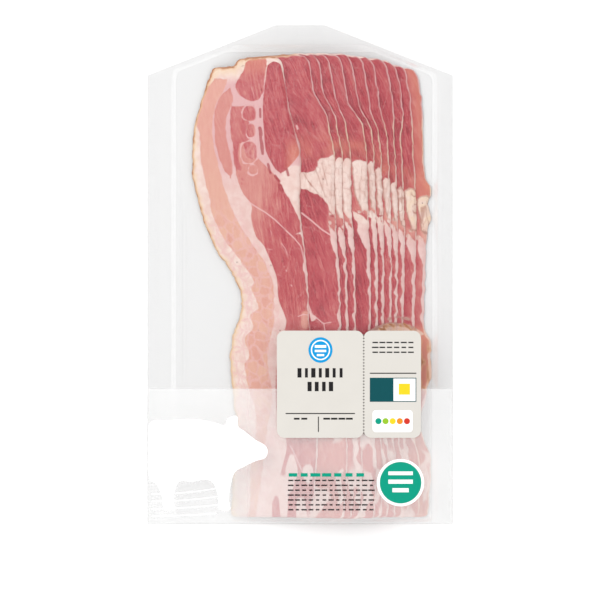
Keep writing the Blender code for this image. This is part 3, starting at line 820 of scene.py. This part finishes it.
def baconMaterial():
    # Cured belly pork, sliced cold: moist lean with fibres along the slice, waxy fat with a
    # softer gloss, and a dry tan rind.  Grain vectors are millimetres from the lean edge.
    material, tree = newMaterial("cured_belly_pork")
    known = {}
    for label, parts in fieldSets.items():
        source = addNode(tree, "ShaderNodeAttribute", attribute_name=label, attribute_type="GEOMETRY")
        known[label] = source.outputs["Vector"]
        known.update(zip(parts, addNode(tree, "ShaderNodeSeparateXYZ", {0: known[label]}).outputs))
    for name, (scale, detail, stretch) in meatNoise.items():
        placed = addNode(tree, "ShaderNodeMapping", {"Vector": known["grain"], "Scale": stretch})
        inputs = {"Vector": placed.outputs[0], "Scale": scale, "Detail": detail, "Roughness": 0.6}
        known[name] = addNode(tree, "ShaderNodeTexNoise", inputs).outputs["Fac"]
    for name, (scale, stretch, warp, feature, output) in meatCells.items():
        placed = addNode(tree, "ShaderNodeMapping", {"Vector": known["grain"], "Scale": stretch})
        if warp:
            inputs = {"Vector": placed.outputs[0], "Scale": 0.45, "Detail": 2.0}
            bent = addNode(tree, "ShaderNodeTexNoise", inputs).outputs["Color"]
            inputs = {0: bent, 1: (warp, warp, warp), 2: placed.outputs[0]}
            placed = addNode(tree, "ShaderNodeVectorMath", inputs, operation="MULTIPLY_ADD")
        inputs = {"Vector": placed.outputs[0], "Scale": scale}
        known[name] = addNode(tree, "ShaderNodeTexVoronoi", inputs, feature=feature).outputs[output]
    known["speckRed"] = addNode(tree, "ShaderNodeSeparateColor", {0: known["speckTint"]}).outputs[0]

    for name, action, *given in meatSteps:
        given = [linearColour(g) if str(g).startswith("#") else known.get(g, g) for g in given]
        if action == "fade":
            inputs = dict(zip(("Value", "From Min", "From Max", "To Min", "To Max"), given))
            made = addNode(tree, "ShaderNodeMapRange", inputs, interpolation_type="SMOOTHSTEP").outputs[0]
        elif action == "mix":
            made = addNode(tree, "ShaderNodeMix", dict(zip((0, 6, 7), given)), data_type="RGBA").outputs[2]
        elif action == "ramp":
            ramped = addNode(tree, "ShaderNodeValToRGB", {"Fac": given[0]})
            fillRamp(ramped, [(place, linearColour(shade)) for place, shade in leanStops])
            made = ramped.outputs["Color"]
        else:  # a sum, product or maximum of all that is given
            made = given[0]
            for part in given[1:]:
                made = addNode(tree, "ShaderNodeMath", {0: made, 1: part}, operation=action).outputs[0]
        known[name] = made

    inputs = {"Height": known["height"], "Strength": 0.6, "Distance": 0.12 * mm}
    bump = addNode(tree, "ShaderNodeBump", inputs)
    shader = addNode(tree, "ShaderNodeBsdfPrincipled", {
        "Base Color": known["peppered"], "Roughness": known["rough"], "Normal": bump.outputs[0], **meatGloss,
    })
    addNode(tree, "ShaderNodeOutputMaterial", {"Surface": shader.outputs[0]})
    return material


baconLook = baconMaterial()
for sliceIndex in range(slices["count"]):
    makeSlice(sliceIndex, baconLook)
print("slices ready")


# The six numbers of an inset are for the foot side, the right side, the right cut corner, the
# head, the left cut corner and the left side.
tray = {
    "width": 150,
    "length": 245,
    "topEdge": 24,
    "cutDepth": 24.7,
    "cornerRadius": 0.5,
    "cornerSteps": 8,
    "height": 13,
    "web": 0.4,
    "stepDrop": 0.5,
    "edgeRound": 0.1,
    "wallRadius": 5,
    "sealInner": (0.55, 5.4, 0.7, 5.4, 0.7, 5.8),
    "stepFoot": (0.8, 6.0, 1.1, 6.0, 1.1, 6.4),
    "wallTop": (1.3, 7.4, 1.8, 9.6, 1.8, 11.6),
    "wallFoot": (1.7, 9.6, 2.4, 12.1, 2.4, 13.6),
    "beadX": -57.5,
    "beadEnds": (-100, 28),
    "beadWidth": 2.2,
    "beadRise": 0.8,
}


def packSides():
    across = (tray["width"] - tray["topEdge"]) / 2
    slope = math.hypot(across, tray["cutDepth"])
    nx, ny = tray["cutDepth"] / slope, across / slope
    reach = nx * tray["topEdge"] / 2 + ny * tray["length"] / 2
    return [
        (0, -1, tray["length"] / 2), (1, 0, tray["width"] / 2), (nx, ny, reach),
        (0, 1, tray["length"] / 2), (-nx, ny, reach), (-1, 0, tray["width"] / 2),
    ]


def arcPoints(centreX, centreY, radius, start, end, steps):
    angles = [start + (end - start) * n / steps for n in range(steps + 1)]
    return [(centreX + radius * math.cos(a), centreY + radius * math.sin(a)) for a in angles]


def packOutline(insets, radius):
    sides = [(nx, ny, reach - inset - radius) for (nx, ny, reach), inset in zip(packSides(), insets)]
    points = []
    for i, (ax, ay, ad) in enumerate(sides):
        bx, by, bd = sides[(i + 1) % len(sides)]
        area = ax * by - ay * bx
        corner = (ad * by - bd * ay) / area, (ax * bd - bx * ad) / area
        start = math.atan2(ay, ax)
        turn = (math.atan2(by, bx) - start) % math.tau
        points += arcPoints(*corner, radius, start, start + turn, tray["cornerSteps"])
    return points


def ringBody(name, rings, material):  # a closed body through rings, flat at both ends
    bm = bmesh.new()
    loops = [[bm.verts.new((x * mm, y * mm, z * mm)) for x, y, z in ring] for ring in rings]
    for low, high in zip(loops, loops[1:]):
        for i in range(len(low)):
            j = (i + 1) % len(low)
            bm.faces.new((low[i], low[j], high[j], high[i]))
    bm.faces.new(loops[0])
    bm.faces.new(reversed(loops[-1]))
    bmesh.ops.recalc_face_normals(bm, faces=bm.faces)
    mesh = bpy.data.meshes.new(name)
    bm.to_mesh(mesh)
    bm.free()
    mesh.shade_smooth()
    mesh.set_sharp_from_angle(angle=math.radians(35))
    return newObject(name, mesh, material)


# How much light passes where the plastic lies flat, bends, stands up and is the rim, and how
# much it mirrors when seen head on and at low angles.
clearPlastics = {
    "thermoformed_apet": {
        "flat": 0.886, "fillet": 0.845, "wall": 0.93, "rim": 0.89,
        "headOn": 0.02, "lowAngle": 0.4, "roughness": 0.08,
    },
    "lidding_film": {
        "flat": 0.991, "fillet": 0.98, "wall": 0.97,
        "headOn": 0.01, "lowAngle": 0.4, "roughness": 0.05,
    },
    "knurled_film": {
        "flat": 0.99, "fillet": 0.94, "wall": 0.96,
        "headOn": 0.004, "lowAngle": 0.06, "roughness": 0.2,
    },
}
rimHeights = {"From Min": 11.4 * mm, "From Max": 12.1 * mm}


def clearMaterial(name):
    # Clear packaging plastic: nearly colourless, mirror-like only at low angles.  A wall is drawn
    # thinner than the floor and passes more light, a fillet passes less.  The heated rim is hazy.
    clear = clearPlastics[name]
    material, tree = newMaterial(name)
    tilt = addNode(tree, "ShaderNodeLayerWeight", {"Blend": 0.5}).outputs["Facing"]
    tint = addNode(tree, "ShaderNodeValToRGB", {"Fac": tilt})
    tilts = ((0.0, "flat"), (0.12, "flat"), (0.4, "fillet"), (0.7, "wall"))
    fillRamp(tint, [(place, (*[clear[part]] * 3, 1)) for place, part in tilts])
    colour = tint.outputs["Color"]
    if "rim" in clear:
        place = addNode(tree, "ShaderNodeTexCoord").outputs["Object"]
        high = addNode(tree, "ShaderNodeSeparateXYZ", {0: place}).outputs[2]
        onRim = addNode(tree, "ShaderNodeMapRange", {"Value": high, **rimHeights})
        inputs = {0: onRim.outputs[0], 6: colour, 7: (*[clear["rim"]] * 3, 1)}
        colour = addNode(tree, "ShaderNodeMix", inputs, data_type="RGBA").outputs[2]
    through = addNode(tree, "ShaderNodeBsdfTransparent", {"Color": colour})
    gloss = addNode(tree, "ShaderNodeBsdfGlossy", {"Color": (1, 1, 1, 1), "Roughness": clear["roughness"]})
    steep = addNode(tree, "ShaderNodeMath", {0: tilt, 1: 5.0}, operation="POWER").outputs[0]
    inputs = {"Value": steep, "To Min": clear["headOn"], "To Max": clear["lowAngle"]}
    share = addNode(tree, "ShaderNodeMapRange", inputs).outputs[0]
    surface = addNode(tree, "ShaderNodeMixShader", {0: share, 1: through.outputs[0], 2: gloss.outputs[0]})
    addNode(tree, "ShaderNodeOutputMaterial", {"Surface": surface.outputs[0]})
    return material


def letLightPass(piece):  # clear plastic takes next to nothing from the light that crosses it
    piece.visible_shadow = False
    piece.visible_diffuse = False


wallSpots = (  # from the floor up: share of the way from wall top to wall foot, share of the height
    (1.16, 0.0), (1.06, 0.015), (0.99, 0.05), (0.94, 0.12), (0.5, 0.52), (0.09, 0.9), (0.04, 0.96),
    (-0.05, 0.99), (-0.16, 1.0),
)
beadSteps = ((-0.2, 0.5), (0, 0.5), (0.45, 0.42), (0.8, 0.28), (1.0, 0.1))  # height and half width


def makeTray(material):
    web, height, drop = tray["web"], tray["height"], tray["stepDrop"]
    stripZ = height - drop
    foot, top = np.array(tray["wallFoot"]), np.array(tray["wallTop"])
    step, seal = np.array(tray["stepFoot"]), np.array(tray["sealInner"])
    edge, soft = np.zeros(6), tray["edgeRound"]
    flats = [  # insets and height, from the foot of the step over the rim and back below it
        (step, stripZ), (step * 0.7 + seal * 0.3, stripZ + soft), (step * 0.3 + seal * 0.7, height - soft),
        (seal, height), (edge + soft, height), (edge, height - soft), (edge, height - web + soft),
        (edge + soft, height - web), (seal, height - web), (step, stripZ - web),
    ]

    def ring(insets, radius, z):
        return [(x, y, z) for x, y in packOutline(insets, radius)]

    def wallProfile(offset):  # floor fillet, straight wall and rounded shoulder
        low = web if offset == 0 else 0
        high = stripZ if offset == 0 else stripZ - web
        rings = []
        for share, rise in wallSpots:
            insets = top + (foot - top) * share - offset
            rings.append(ring(insets, tray["wallRadius"] + offset, low + (high - low) * rise))
        return rings

    rings = wallProfile(0) + [ring(insets, tray["cornerRadius"], z) for insets, z in flats]
    rings += wallProfile(web)[::-1]
    piece = ringBody("tray_shell", rings, material)
    beadRings = []
    for rise, share in beadSteps:
        half = tray["beadWidth"] * share
        low, high = tray["beadEnds"]
        outline = arcPoints(tray["beadX"], high, half, 0, math.pi, 10)
        outline += arcPoints(tray["beadX"], low, half, math.pi, math.tau, 10)
        z = web + tray["beadRise"] * rise
        beadRings.append([(x, y, z) for x, y in outline])
    bead = ringBody("bead_guide", beadRings, material)
    union = piece.modifiers.new("floor bead", "BOOLEAN")
    union.operation = "UNION"
    union.solver = "EXACT"
    union.object = bead
    joined = bpy.data.meshes.new_from_object(piece.evaluated_get(bpy.context.evaluated_depsgraph_get()))
    piece.modifiers.clear()
    piece.data = joined
    bpy.data.objects.remove(bead)
    letLightPass(piece)
    finishPiece(piece, "clear_tray", "tray")


film = {"low": 13.3, "high": 13.6, "round": 0.08}


def makeFilm(material):
    rings = []
    for inset, z in (
        (film["round"], film["low"]), (0, film["low"] + film["round"]),
        (0, film["high"] - film["round"]), (film["round"], film["high"]),
    ):
        rings.append([(x, y, z) for x, y in packOutline([inset] * 6, tray["cornerRadius"])])
    piece = ringBody("lid_film_sheet", rings, material)
    letLightPass(piece)
    finishPiece(piece, "clear_film", "lid_film")


def fieldTree():
    # Rows and columns of one small shape: a tapered peg or a bar of random length
    tree = bpy.data.node_groups.new("rows of shapes", "GeometryNodeTree")
    tree.interface.new_socket("Geometry", in_out="OUTPUT", socket_type="NodeSocketGeometry")
    kinds = {
        "Columns": "NodeSocketInt", "Rows": "NodeSocketInt", "Pitch X": "NodeSocketFloat",
        "Pitch Y": "NodeSocketFloat", "Centre": "NodeSocketVector", "Corners": "NodeSocketInt",
        "Base Radius": "NodeSocketFloat", "Top Radius": "NodeSocketFloat", "Height": "NodeSocketFloat",
        "Bars": "NodeSocketBool", "Bar Depth": "NodeSocketFloat", "Shortest": "NodeSocketFloat",
        "Longest": "NodeSocketFloat", "Seed": "NodeSocketInt", "Material": "NodeSocketMaterial",
    }
    for name, kind in kinds.items():
        tree.interface.new_socket(name, in_out="INPUT", socket_type=kind)
    given = addNode(tree, "NodeGroupInput").outputs

    spans = []
    for count, pitch in (("Columns", "Pitch X"), ("Rows", "Pitch Y")):
        gaps = addNode(tree, "ShaderNodeMath", {0: given[count], 1: 1.0}, operation="SUBTRACT").outputs[0]
        span = addNode(tree, "ShaderNodeMath", {0: gaps, 1: given[pitch]}, operation="MULTIPLY").outputs[0]
        spans.append(span)
    grid = addNode(tree, "GeometryNodeMeshGrid", {
        "Size X": spans[0], "Size Y": spans[1], "Vertices X": given["Columns"], "Vertices Y": given["Rows"],
    })
    peg = addNode(tree, "GeometryNodeMeshCone", {
        "Vertices": given["Corners"], "Radius Top": given["Top Radius"],
        "Radius Bottom": given["Base Radius"], "Depth": given["Height"],
    })
    inputs = {"Geometry": peg.outputs["Mesh"], "Rotation": (0, 0, math.pi / 4)}
    turned = addNode(tree, "GeometryNodeTransform", inputs)
    bar = addNode(tree, "GeometryNodeMeshCube", {
        "Size": addNode(tree, "ShaderNodeCombineXYZ", {
            0: given["Pitch X"], 1: given["Bar Depth"], 2: given["Height"],
        }).outputs[0],
    })
    shape = addNode(tree, "GeometryNodeSwitch", {
        "Switch": given["Bars"], "False": turned.outputs[0], "True": bar.outputs["Mesh"],
    }, input_type="GEOMETRY")
    length = addNode(tree, "FunctionNodeRandomValue", {
        2: given["Shortest"], 3: given["Longest"], "Seed": given["Seed"],
    }, data_type="FLOAT")
    scale = addNode(tree, "ShaderNodeCombineXYZ", {0: length.outputs[1], 1: 1.0, 2: 1.0})
    placed = addNode(tree, "GeometryNodeInstanceOnPoints", {
        "Points": grid.outputs["Mesh"], "Instance": shape.outputs[0], "Scale": scale.outputs[0],
    })
    solid = addNode(tree, "GeometryNodeRealizeInstances", {0: placed.outputs[0]})
    inputs = {"Geometry": solid.outputs[0], "Translation": given["Centre"]}
    moved = addNode(tree, "GeometryNodeTransform", inputs)
    inputs = {"Geometry": moved.outputs[0], "Material": given["Material"]}
    painted = addNode(tree, "GeometryNodeSetMaterial", inputs)
    addNode(tree, "NodeGroupOutput", {0: painted.outputs[0]})
    return tree


rowsTree = fieldTree()
rowsDefaults = {
    "Columns": 1, "Rows": 1, "Pitch X": 1.0, "Pitch Y": 1.0, "Centre": (0, 0, 0), "Corners": 4,
    "Base Radius": 0.5, "Top Radius": 0.3, "Height": 0.03, "Bars": False, "Bar Depth": 0.5,
    "Shortest": 1.0, "Longest": 1.0, "Seed": 1,
}
rowsLengths = ("Pitch X", "Pitch Y", "Base Radius", "Top Radius", "Height", "Bar Depth")


def rowsMesh(name, material, values):  # one evaluated copy of the tree as a plain mesh
    holder = bpy.data.objects.new(name, bpy.data.meshes.new(name))
    bpy.context.scene.collection.objects.link(holder)
    modifier = holder.modifiers.new("rows", "NODES")
    modifier.node_group = rowsTree
    for item in rowsTree.interface.items_tree:
        if item.in_out == "OUTPUT":
            continue
        if item.name == "Material":
            modifier[item.identifier] = material
            continue
        value = values.get(item.name, rowsDefaults[item.name])
        if item.name in rowsLengths:
            value = value * mm
        if item.name == "Centre":
            value = tuple(part * mm for part in value)
        modifier[item.identifier] = value
    holder.update_tag()
    made = bpy.data.meshes.new_from_object(holder.evaluated_get(bpy.context.evaluated_depsgraph_get()))
    bpy.data.objects.remove(holder)
    return made


def joinMeshes(name, meshes, material):
    bm = bmesh.new()
    for mesh in meshes:
        bm.from_mesh(mesh)
        bpy.data.meshes.remove(mesh)
    joined = bpy.data.meshes.new(name)
    bm.to_mesh(joined)
    bm.free()
    return newObject(name, joined, material)


knurl = {
    "pitch": 1.55, "base": 0.55, "top": 0.25, "height": 0.1, "lift": 0.01,
    "columns": 4, "sidesX": (-72.1, 72.3), "sideRows": 141, "sideFoot": -120.9,
    "headColumns": 15, "headY": 119.9,
}


def makeKnurl(material):
    # The heat seal is pressed with a fine square grid of pegs
    pitch, columns, rows = knurl["pitch"], knurl["columns"], knurl["sideRows"]
    common = {
        "Pitch X": pitch, "Pitch Y": pitch, "Base Radius": knurl["base"],
        "Top Radius": knurl["top"], "Height": knurl["height"],
    }
    z = film["high"] + knurl["lift"]
    sideY = knurl["sideFoot"] + (rows - 1) * pitch / 2
    fields = [{"Columns": columns, "Rows": rows, "Centre": (x, sideY, z)} for x in knurl["sidesX"]]
    fields.append({"Columns": knurl["headColumns"], "Rows": columns, "Centre": (0, knurl["headY"], z)})
    meshes = [rowsMesh("knurl", material, {**common, **extra}) for extra in fields]
    piece = joinMeshes("seal_knurl", meshes, material)
    letLightPass(piece)
    finishPiece(piece, "clear_film")


makeTray(clearMaterial("thermoformed_apet"))
makeFilm(clearMaterial("lidding_film"))
makeKnurl(clearMaterial("knurled_film"))
print("tray, film and seal ready")


label = {
    "low": 13.9, "high": 14.2, "top": -27.5, "foot": -80.1,
    "left": -11.4, "fold": 31.2, "right": 59.3, "radius": 3.8,
}
inking = {"clearance": 0.02, "step": 0.04, "depth": 0.03}  # each layer of ink lies above the last


def panelArcs(left, right):
    radius, quarter = label["radius"], math.pi / 2
    low, high = label["foot"] + radius, label["top"] - radius
    near, far = left + radius, right - radius
    arcs = []
    for n, spot in enumerate([(near, low), (far, low), (far, high), (near, high)]):
        arcs.append(arcPoints(*spot, radius, (n + 2) * quarter, (n + 3) * quarter, 10))
    return arcs


def paperMaterial():
    # Coated label paper: matt, off-white, with a very faint cloudiness
    material, tree = newMaterial("coated_label_paper")
    place = addNode(tree, "ShaderNodeTexCoord").outputs["Object"]
    cloud = addNode(tree, "ShaderNodeTexNoise", {"Vector": place, "Scale": 90.0, "Detail": 4.0})
    grain = addNode(tree, "ShaderNodeTexNoise", {"Vector": place, "Scale": 3000.0, "Detail": 2.0})
    colour = addNode(tree, "ShaderNodeMix", {
        0: cloud.outputs["Fac"], 6: linearColour("#D8D4CD"), 7: linearColour("#D2CEC7"),
    }, data_type="RGBA")
    inputs = {"Height": grain.outputs["Fac"], "Strength": 0.2, "Distance": 0.02 * mm}
    bump = addNode(tree, "ShaderNodeBump", inputs)
    shader = addNode(tree, "ShaderNodeBsdfPrincipled", {
        "Base Color": colour.outputs[2], "Roughness": 0.6, "Normal": bump.outputs[0], "IOR": 1.4,
    })
    addNode(tree, "ShaderNodeOutputMaterial", {"Surface": shader.outputs[0]})
    return material


def inkMaterial(name, shade):
    # Flexographic ink: an even film of colour, a little mottled where it soaks in
    material, tree = newMaterial(name)
    place = addNode(tree, "ShaderNodeTexCoord").outputs["Object"]
    mottle = addNode(tree, "ShaderNodeTexNoise", {"Vector": place, "Scale": 900.0, "Detail": 3.0})
    colour = linearColour(shade)
    lighter = tuple(min(1, c * 1.12) for c in colour[:3]) + (1,)
    inputs = {0: mottle.outputs["Fac"], 6: colour, 7: lighter}
    mixedInk = addNode(tree, "ShaderNodeMix", inputs, data_type="RGBA")
    inputs = {"Base Color": mixedInk.outputs[2], "Roughness": 0.45, "IOR": 1.22}
    shader = addNode(tree, "ShaderNodeBsdfPrincipled", inputs)
    addNode(tree, "ShaderNodeOutputMaterial", {"Surface": shader.outputs[0]})
    return material


def makeLabel(material):
    main = panelArcs(label["left"], label["fold"])
    side = panelArcs(label["fold"], label["right"])
    outline = main[0] + main[1] + side[0][1:] + side[1] + side[2] + side[3] + main[2][1:] + main[3]
    rings = [[(x, y, z) for x, y in outline] for z in (label["low"], label["high"])]
    piece = ringBody("label_paper", rings, material)
    finishPiece(piece, "label_paper", "label")


def disc(centreX, centreY, radius, stretch=1.0, steps=40):
    angles = [math.tau * n / steps for n in range(steps)]
    return [(centreX + radius * math.cos(a), centreY + radius * stretch * math.sin(a)) for a in angles]


def field(left, low, right, high, radius=0.0):
    if radius == 0:
        return [(left, low), (right, low), (right, high), (left, high)]
    quarter = math.pi / 2
    centres = [(left + radius, low + radius), (right - radius, low + radius),
               (right - radius, high - radius), (left + radius, high - radius)]
    points = []
    for n, spot in enumerate(centres):
        points += arcPoints(*spot, radius, (n + 2) * quarter, (n + 3) * quarter, 6)
    return points


def printShapes(name, slot, material, base, outlines):
    bm = bmesh.new()
    for points in outlines:
        area = sum(a[0] * b[1] - b[0] * a[1] for a, b in zip(points, points[1:] + points[:1]))
        points = points if area > 0 else points[::-1]
        low = [bm.verts.new((x * mm, y * mm, base * mm)) for x, y in points]
        high = [bm.verts.new((x * mm, y * mm, (base + inking["depth"]) * mm)) for x, y in points]
        bm.faces.new(high)
        bm.faces.new(low[::-1])
        for i in range(len(low)):
            j = (i + 1) % len(low)
            bm.faces.new((low[i], low[j], high[j], high[i]))
    mesh = bpy.data.meshes.new(name)
    bm.to_mesh(mesh)
    bm.free()
    piece = newObject(name, mesh, material)
    finishPiece(piece, slot)
    return piece


barValues = ("Columns", "Rows", "Pitch X", "Pitch Y", "Bar Depth", "Shortest", "Longest", "Seed")


def printBars(name, slot, material, base, blocks):  # a block ends with the place of its middle
    meshes = []
    for *values, x, y in blocks:
        block = dict(zip(barValues, values))
        meshes.append(rowsMesh(name, material, {"Bars": True, **block, "Centre": (x, y, base)}))
    piece = joinMeshes(name, meshes, material)
    finishPiece(piece, slot)


inkShades = {
    "black": "#1E1D1E", "blue": "#0A93CF", "teal": "#064B51", "green": "#02947A", "yellow": "#EBCB22",
    "white": "#FBFBFB", "red": "#C93425", "orange": "#E08A26", "lime": "#8FBA2A",
}
inks = {name: inkMaterial(f"{name}_ink", shade) for name, shade in inkShades.items()}

# Each printed piece has its ink, its layer and its outlines, or its blocks of bars.
labelPrint = [
    ("label_mark_blue", "blue", 0, [disc(10.0, -37.0, 5.9, 1.06)]),
    ("label_mark_ring", "white", 1, [disc(10.0, -37.0, 4.7, 1.06)]),
    ("label_mark_centre", "blue", 2, [disc(10.0, -37.0, 4.1, 1.06)]),
    ("label_mark_bars", "white", 3, [
        field(7.2, -35.9, 12.8, -34.6), field(7.2, -38.0, 12.8, -36.9), field(8.2, -40.0, 11.8, -39.0),
    ]),
    ("label_rules", "black", 0, [
        field(-7.1, -68.4, 26.9, -67.9), field(8.75, -77.2, 9.2, -69.7), field(34.2, -48.65, 57.0, -48.15),
    ]),
    ("label_heading", "black", 0, (
        (7, 1, 3.4, 1, 4.6, 0.38, 0.66, 4, 9.9, -48.2), (4, 1, 3.5, 1, 4.6, 0.42, 0.66, 6, 9.9, -54.9),
    )),
    ("label_small_print", "black", 0, (
        (2, 1, 3.7, 1, 0.9, 0.7, 0.9, 2, 0.2, -70.7), (4, 1, 3.7, 1, 0.9, 0.7, 0.92, 3, 18.6, -70.7),
        (6, 3, 3.5, 2.4, 0.65, 0.6, 0.92, 5, 45.6, -35.7),
    )),
    ("label_panel_teal", "teal", 0, [field(34.2, -62.4, 57.0, -50.6)]),
    ("label_panel_white", "white", 1, [
        field(45.8, -62.0, 56.6, -51.0), field(35.5, -77.3, 55.2, -66.5, 1.6),
    ]),
    ("label_square", "yellow", 2, [field(48.4, -58.9, 53.9, -53.5)]),
]
for dotIndex, dotInk in enumerate(("green", "lime", "yellow", "orange", "red")):
    dot = disc(38.4 + 3.5 * dotIndex, -71.9, 1.5, 1.0, 24)
    labelPrint.append((f"label_dot_{dotIndex + 1}", dotInk, 2, [dot]))


def printAll(slot, surface, pieces):
    for name, ink, layer, shapes in pieces:
        draw = printShapes if isinstance(shapes, list) else printBars
        draw(name, slot, inks[ink], surface + inking["clearance"] + inking["step"] * layer, shapes)


perforation = {
    "Rows": 33, "Pitch Y": 1.5, "Corners": 10, "Base Radius": 0.42, "Top Radius": 0.38, "Height": 0.02,
}


def makePerforation():
    dark = inkMaterial("punched_paper_edge", "#6F6A66")
    centre = (label["fold"], (label["top"] + label["foot"]) / 2, label["high"] + perforation["Height"] / 2)
    holes = rowsMesh("perforation", dark, {**perforation, "Centre": centre})
    finishPiece(newObject("label_perforation", holes, dark), "label_paper")


band = {  # how much of what lies below the white ink covers, beside the meat and over it
    "top": -56.0, "inset": 0.4, "emptyCover": 0.6, "meatCover": 0.38,
    "leftFade": (-44, -8), "rightFade": (62, 66),
}


def bandMaterial():
    # Thin white ink on clear film: lets the meat show through, and covers more beside the meat
    material, tree = newMaterial("thin_white_ink")
    place = addNode(tree, "ShaderNodeTexCoord").outputs["Object"]
    x = addNode(tree, "ShaderNodeSeparateXYZ", {0: place}).outputs[0]
    empty, meat = [1 - math.sqrt(1 - band[side]) for side in ("emptyCover", "meatCover")]  # two faces
    share = empty
    for side, cover in (("leftFade", meat), ("rightFade", empty)):
        low, high = [place * mm for place in band[side]]
        inputs = {"Value": x, "From Min": low, "From Max": high, "To Min": share, "To Max": cover}
        share = addNode(tree, "ShaderNodeMapRange", inputs, interpolation_type="SMOOTHSTEP").outputs[0]
    through = addNode(tree, "ShaderNodeBsdfTransparent")
    ink = addNode(tree, "ShaderNodeBsdfDiffuse", {"Color": (0.83, 0.83, 0.83, 1)})
    surface = addNode(tree, "ShaderNodeMixShader", {0: share, 1: through.outputs[0], 2: ink.outputs[0]})
    addNode(tree, "ShaderNodeOutputMaterial", {"Surface": surface.outputs[0]})
    return material


animalOutline = (  # a plain four-legged animal that faces right, cut off at the pack's edge
    (-74.5, -74), (-65, -71.6), (-52, -71), (-42, -72.6), (-37, -74), (-35.6, -70.6), (-31, -69.4),
    (-30.4, -74.4), (-27, -77), (-22, -81), (-17.4, -83.6), (-15.9, -86.6), (-17.2, -90),
    (-22, -91.6), (-27, -94), (-32, -97), (-34, -103), (-35, -110), (-34.4, -115.4), (-39.4, -115.4),
    (-40.2, -109), (-42.2, -103), (-46, -100.6), (-53, -101.6), (-59, -101.4), (-61.4, -106),
    (-62, -111), (-61.4, -115.4), (-66.6, -115.4), (-67.8, -109), (-70.4, -103), (-74.5, -98),
)
furrow = {"count": 4, "left": -73, "right": -41, "foot": -118.5, "pitch": 3.6, "half": 0.25, "reach": 60}


def furrowOutlines():  # curved lines below the animal, each longer and steeper than the last
    outlines = []
    for n in range(furrow["count"]):
        start, rise = furrow["foot"] + furrow["pitch"] * n, 5.0 + 1.6 * n
        xs = np.linspace(furrow["left"], furrow["right"] + 1.5 * n, 24)
        ys = start + rise * ((xs - furrow["left"]) / furrow["reach"]) ** 2
        upper = list(zip(xs, ys + furrow["half"]))
        lower = list(zip(xs[::-1], ys[::-1] - furrow["half"]))
        outlines.append(upper + lower)
    return outlines


animal = [(max(x, -74.5), max(y, -115.6)) for x, y in smoothLoop(animalOutline, 5)]
filmPrint = [
    ("film_animal", "white", 1, [animal]),
    ("film_furrows", "white", 1.75, furrowOutlines()),
    ("film_heading", "green", 1, ((7, 1, 5.5, 1, 1.7, 0.62, 0.9, 9, 13.0, -98.3),)),
    ("film_small_print", "black", 1, ((13, 7, 3.3, 2.4, 0.7, 0.4, 0.93, 11, 15.2, -108.2),)),
    ("film_round_border", "white", 1, [disc(49.3, -102.1, 11.6, 1.0, 56)]),
    ("film_round_mark", "green", 2, [disc(49.3, -102.1, 10.2, 1.0, 56)]),
    ("film_round_bars", "white", 3, [
        field(43.3, -98.4, 55.3, -96.6), field(43.3, -102.6, 55.3, -100.6),
        field(45.3, -106.8, 53.3, -104.8),
    ]),
]


def makeBand():
    side, foot = tray["width"] / 2 - band["inset"], -tray["length"] / 2 + band["inset"]
    outline = field(-side, foot, side, band["top"])
    base = film["high"] + inking["clearance"]
    veil = printShapes("film_white_band", "clear_film", bandMaterial(), base, [outline])
    letLightPass(veil)  # such thin ink scatters the light on to the meat


makeLabel(paperMaterial())
makePerforation()
printAll("label_paper", label["high"], labelPrint)
makeBand()
printAll("clear_film", film["high"], filmPrint)
print("label and print ready")
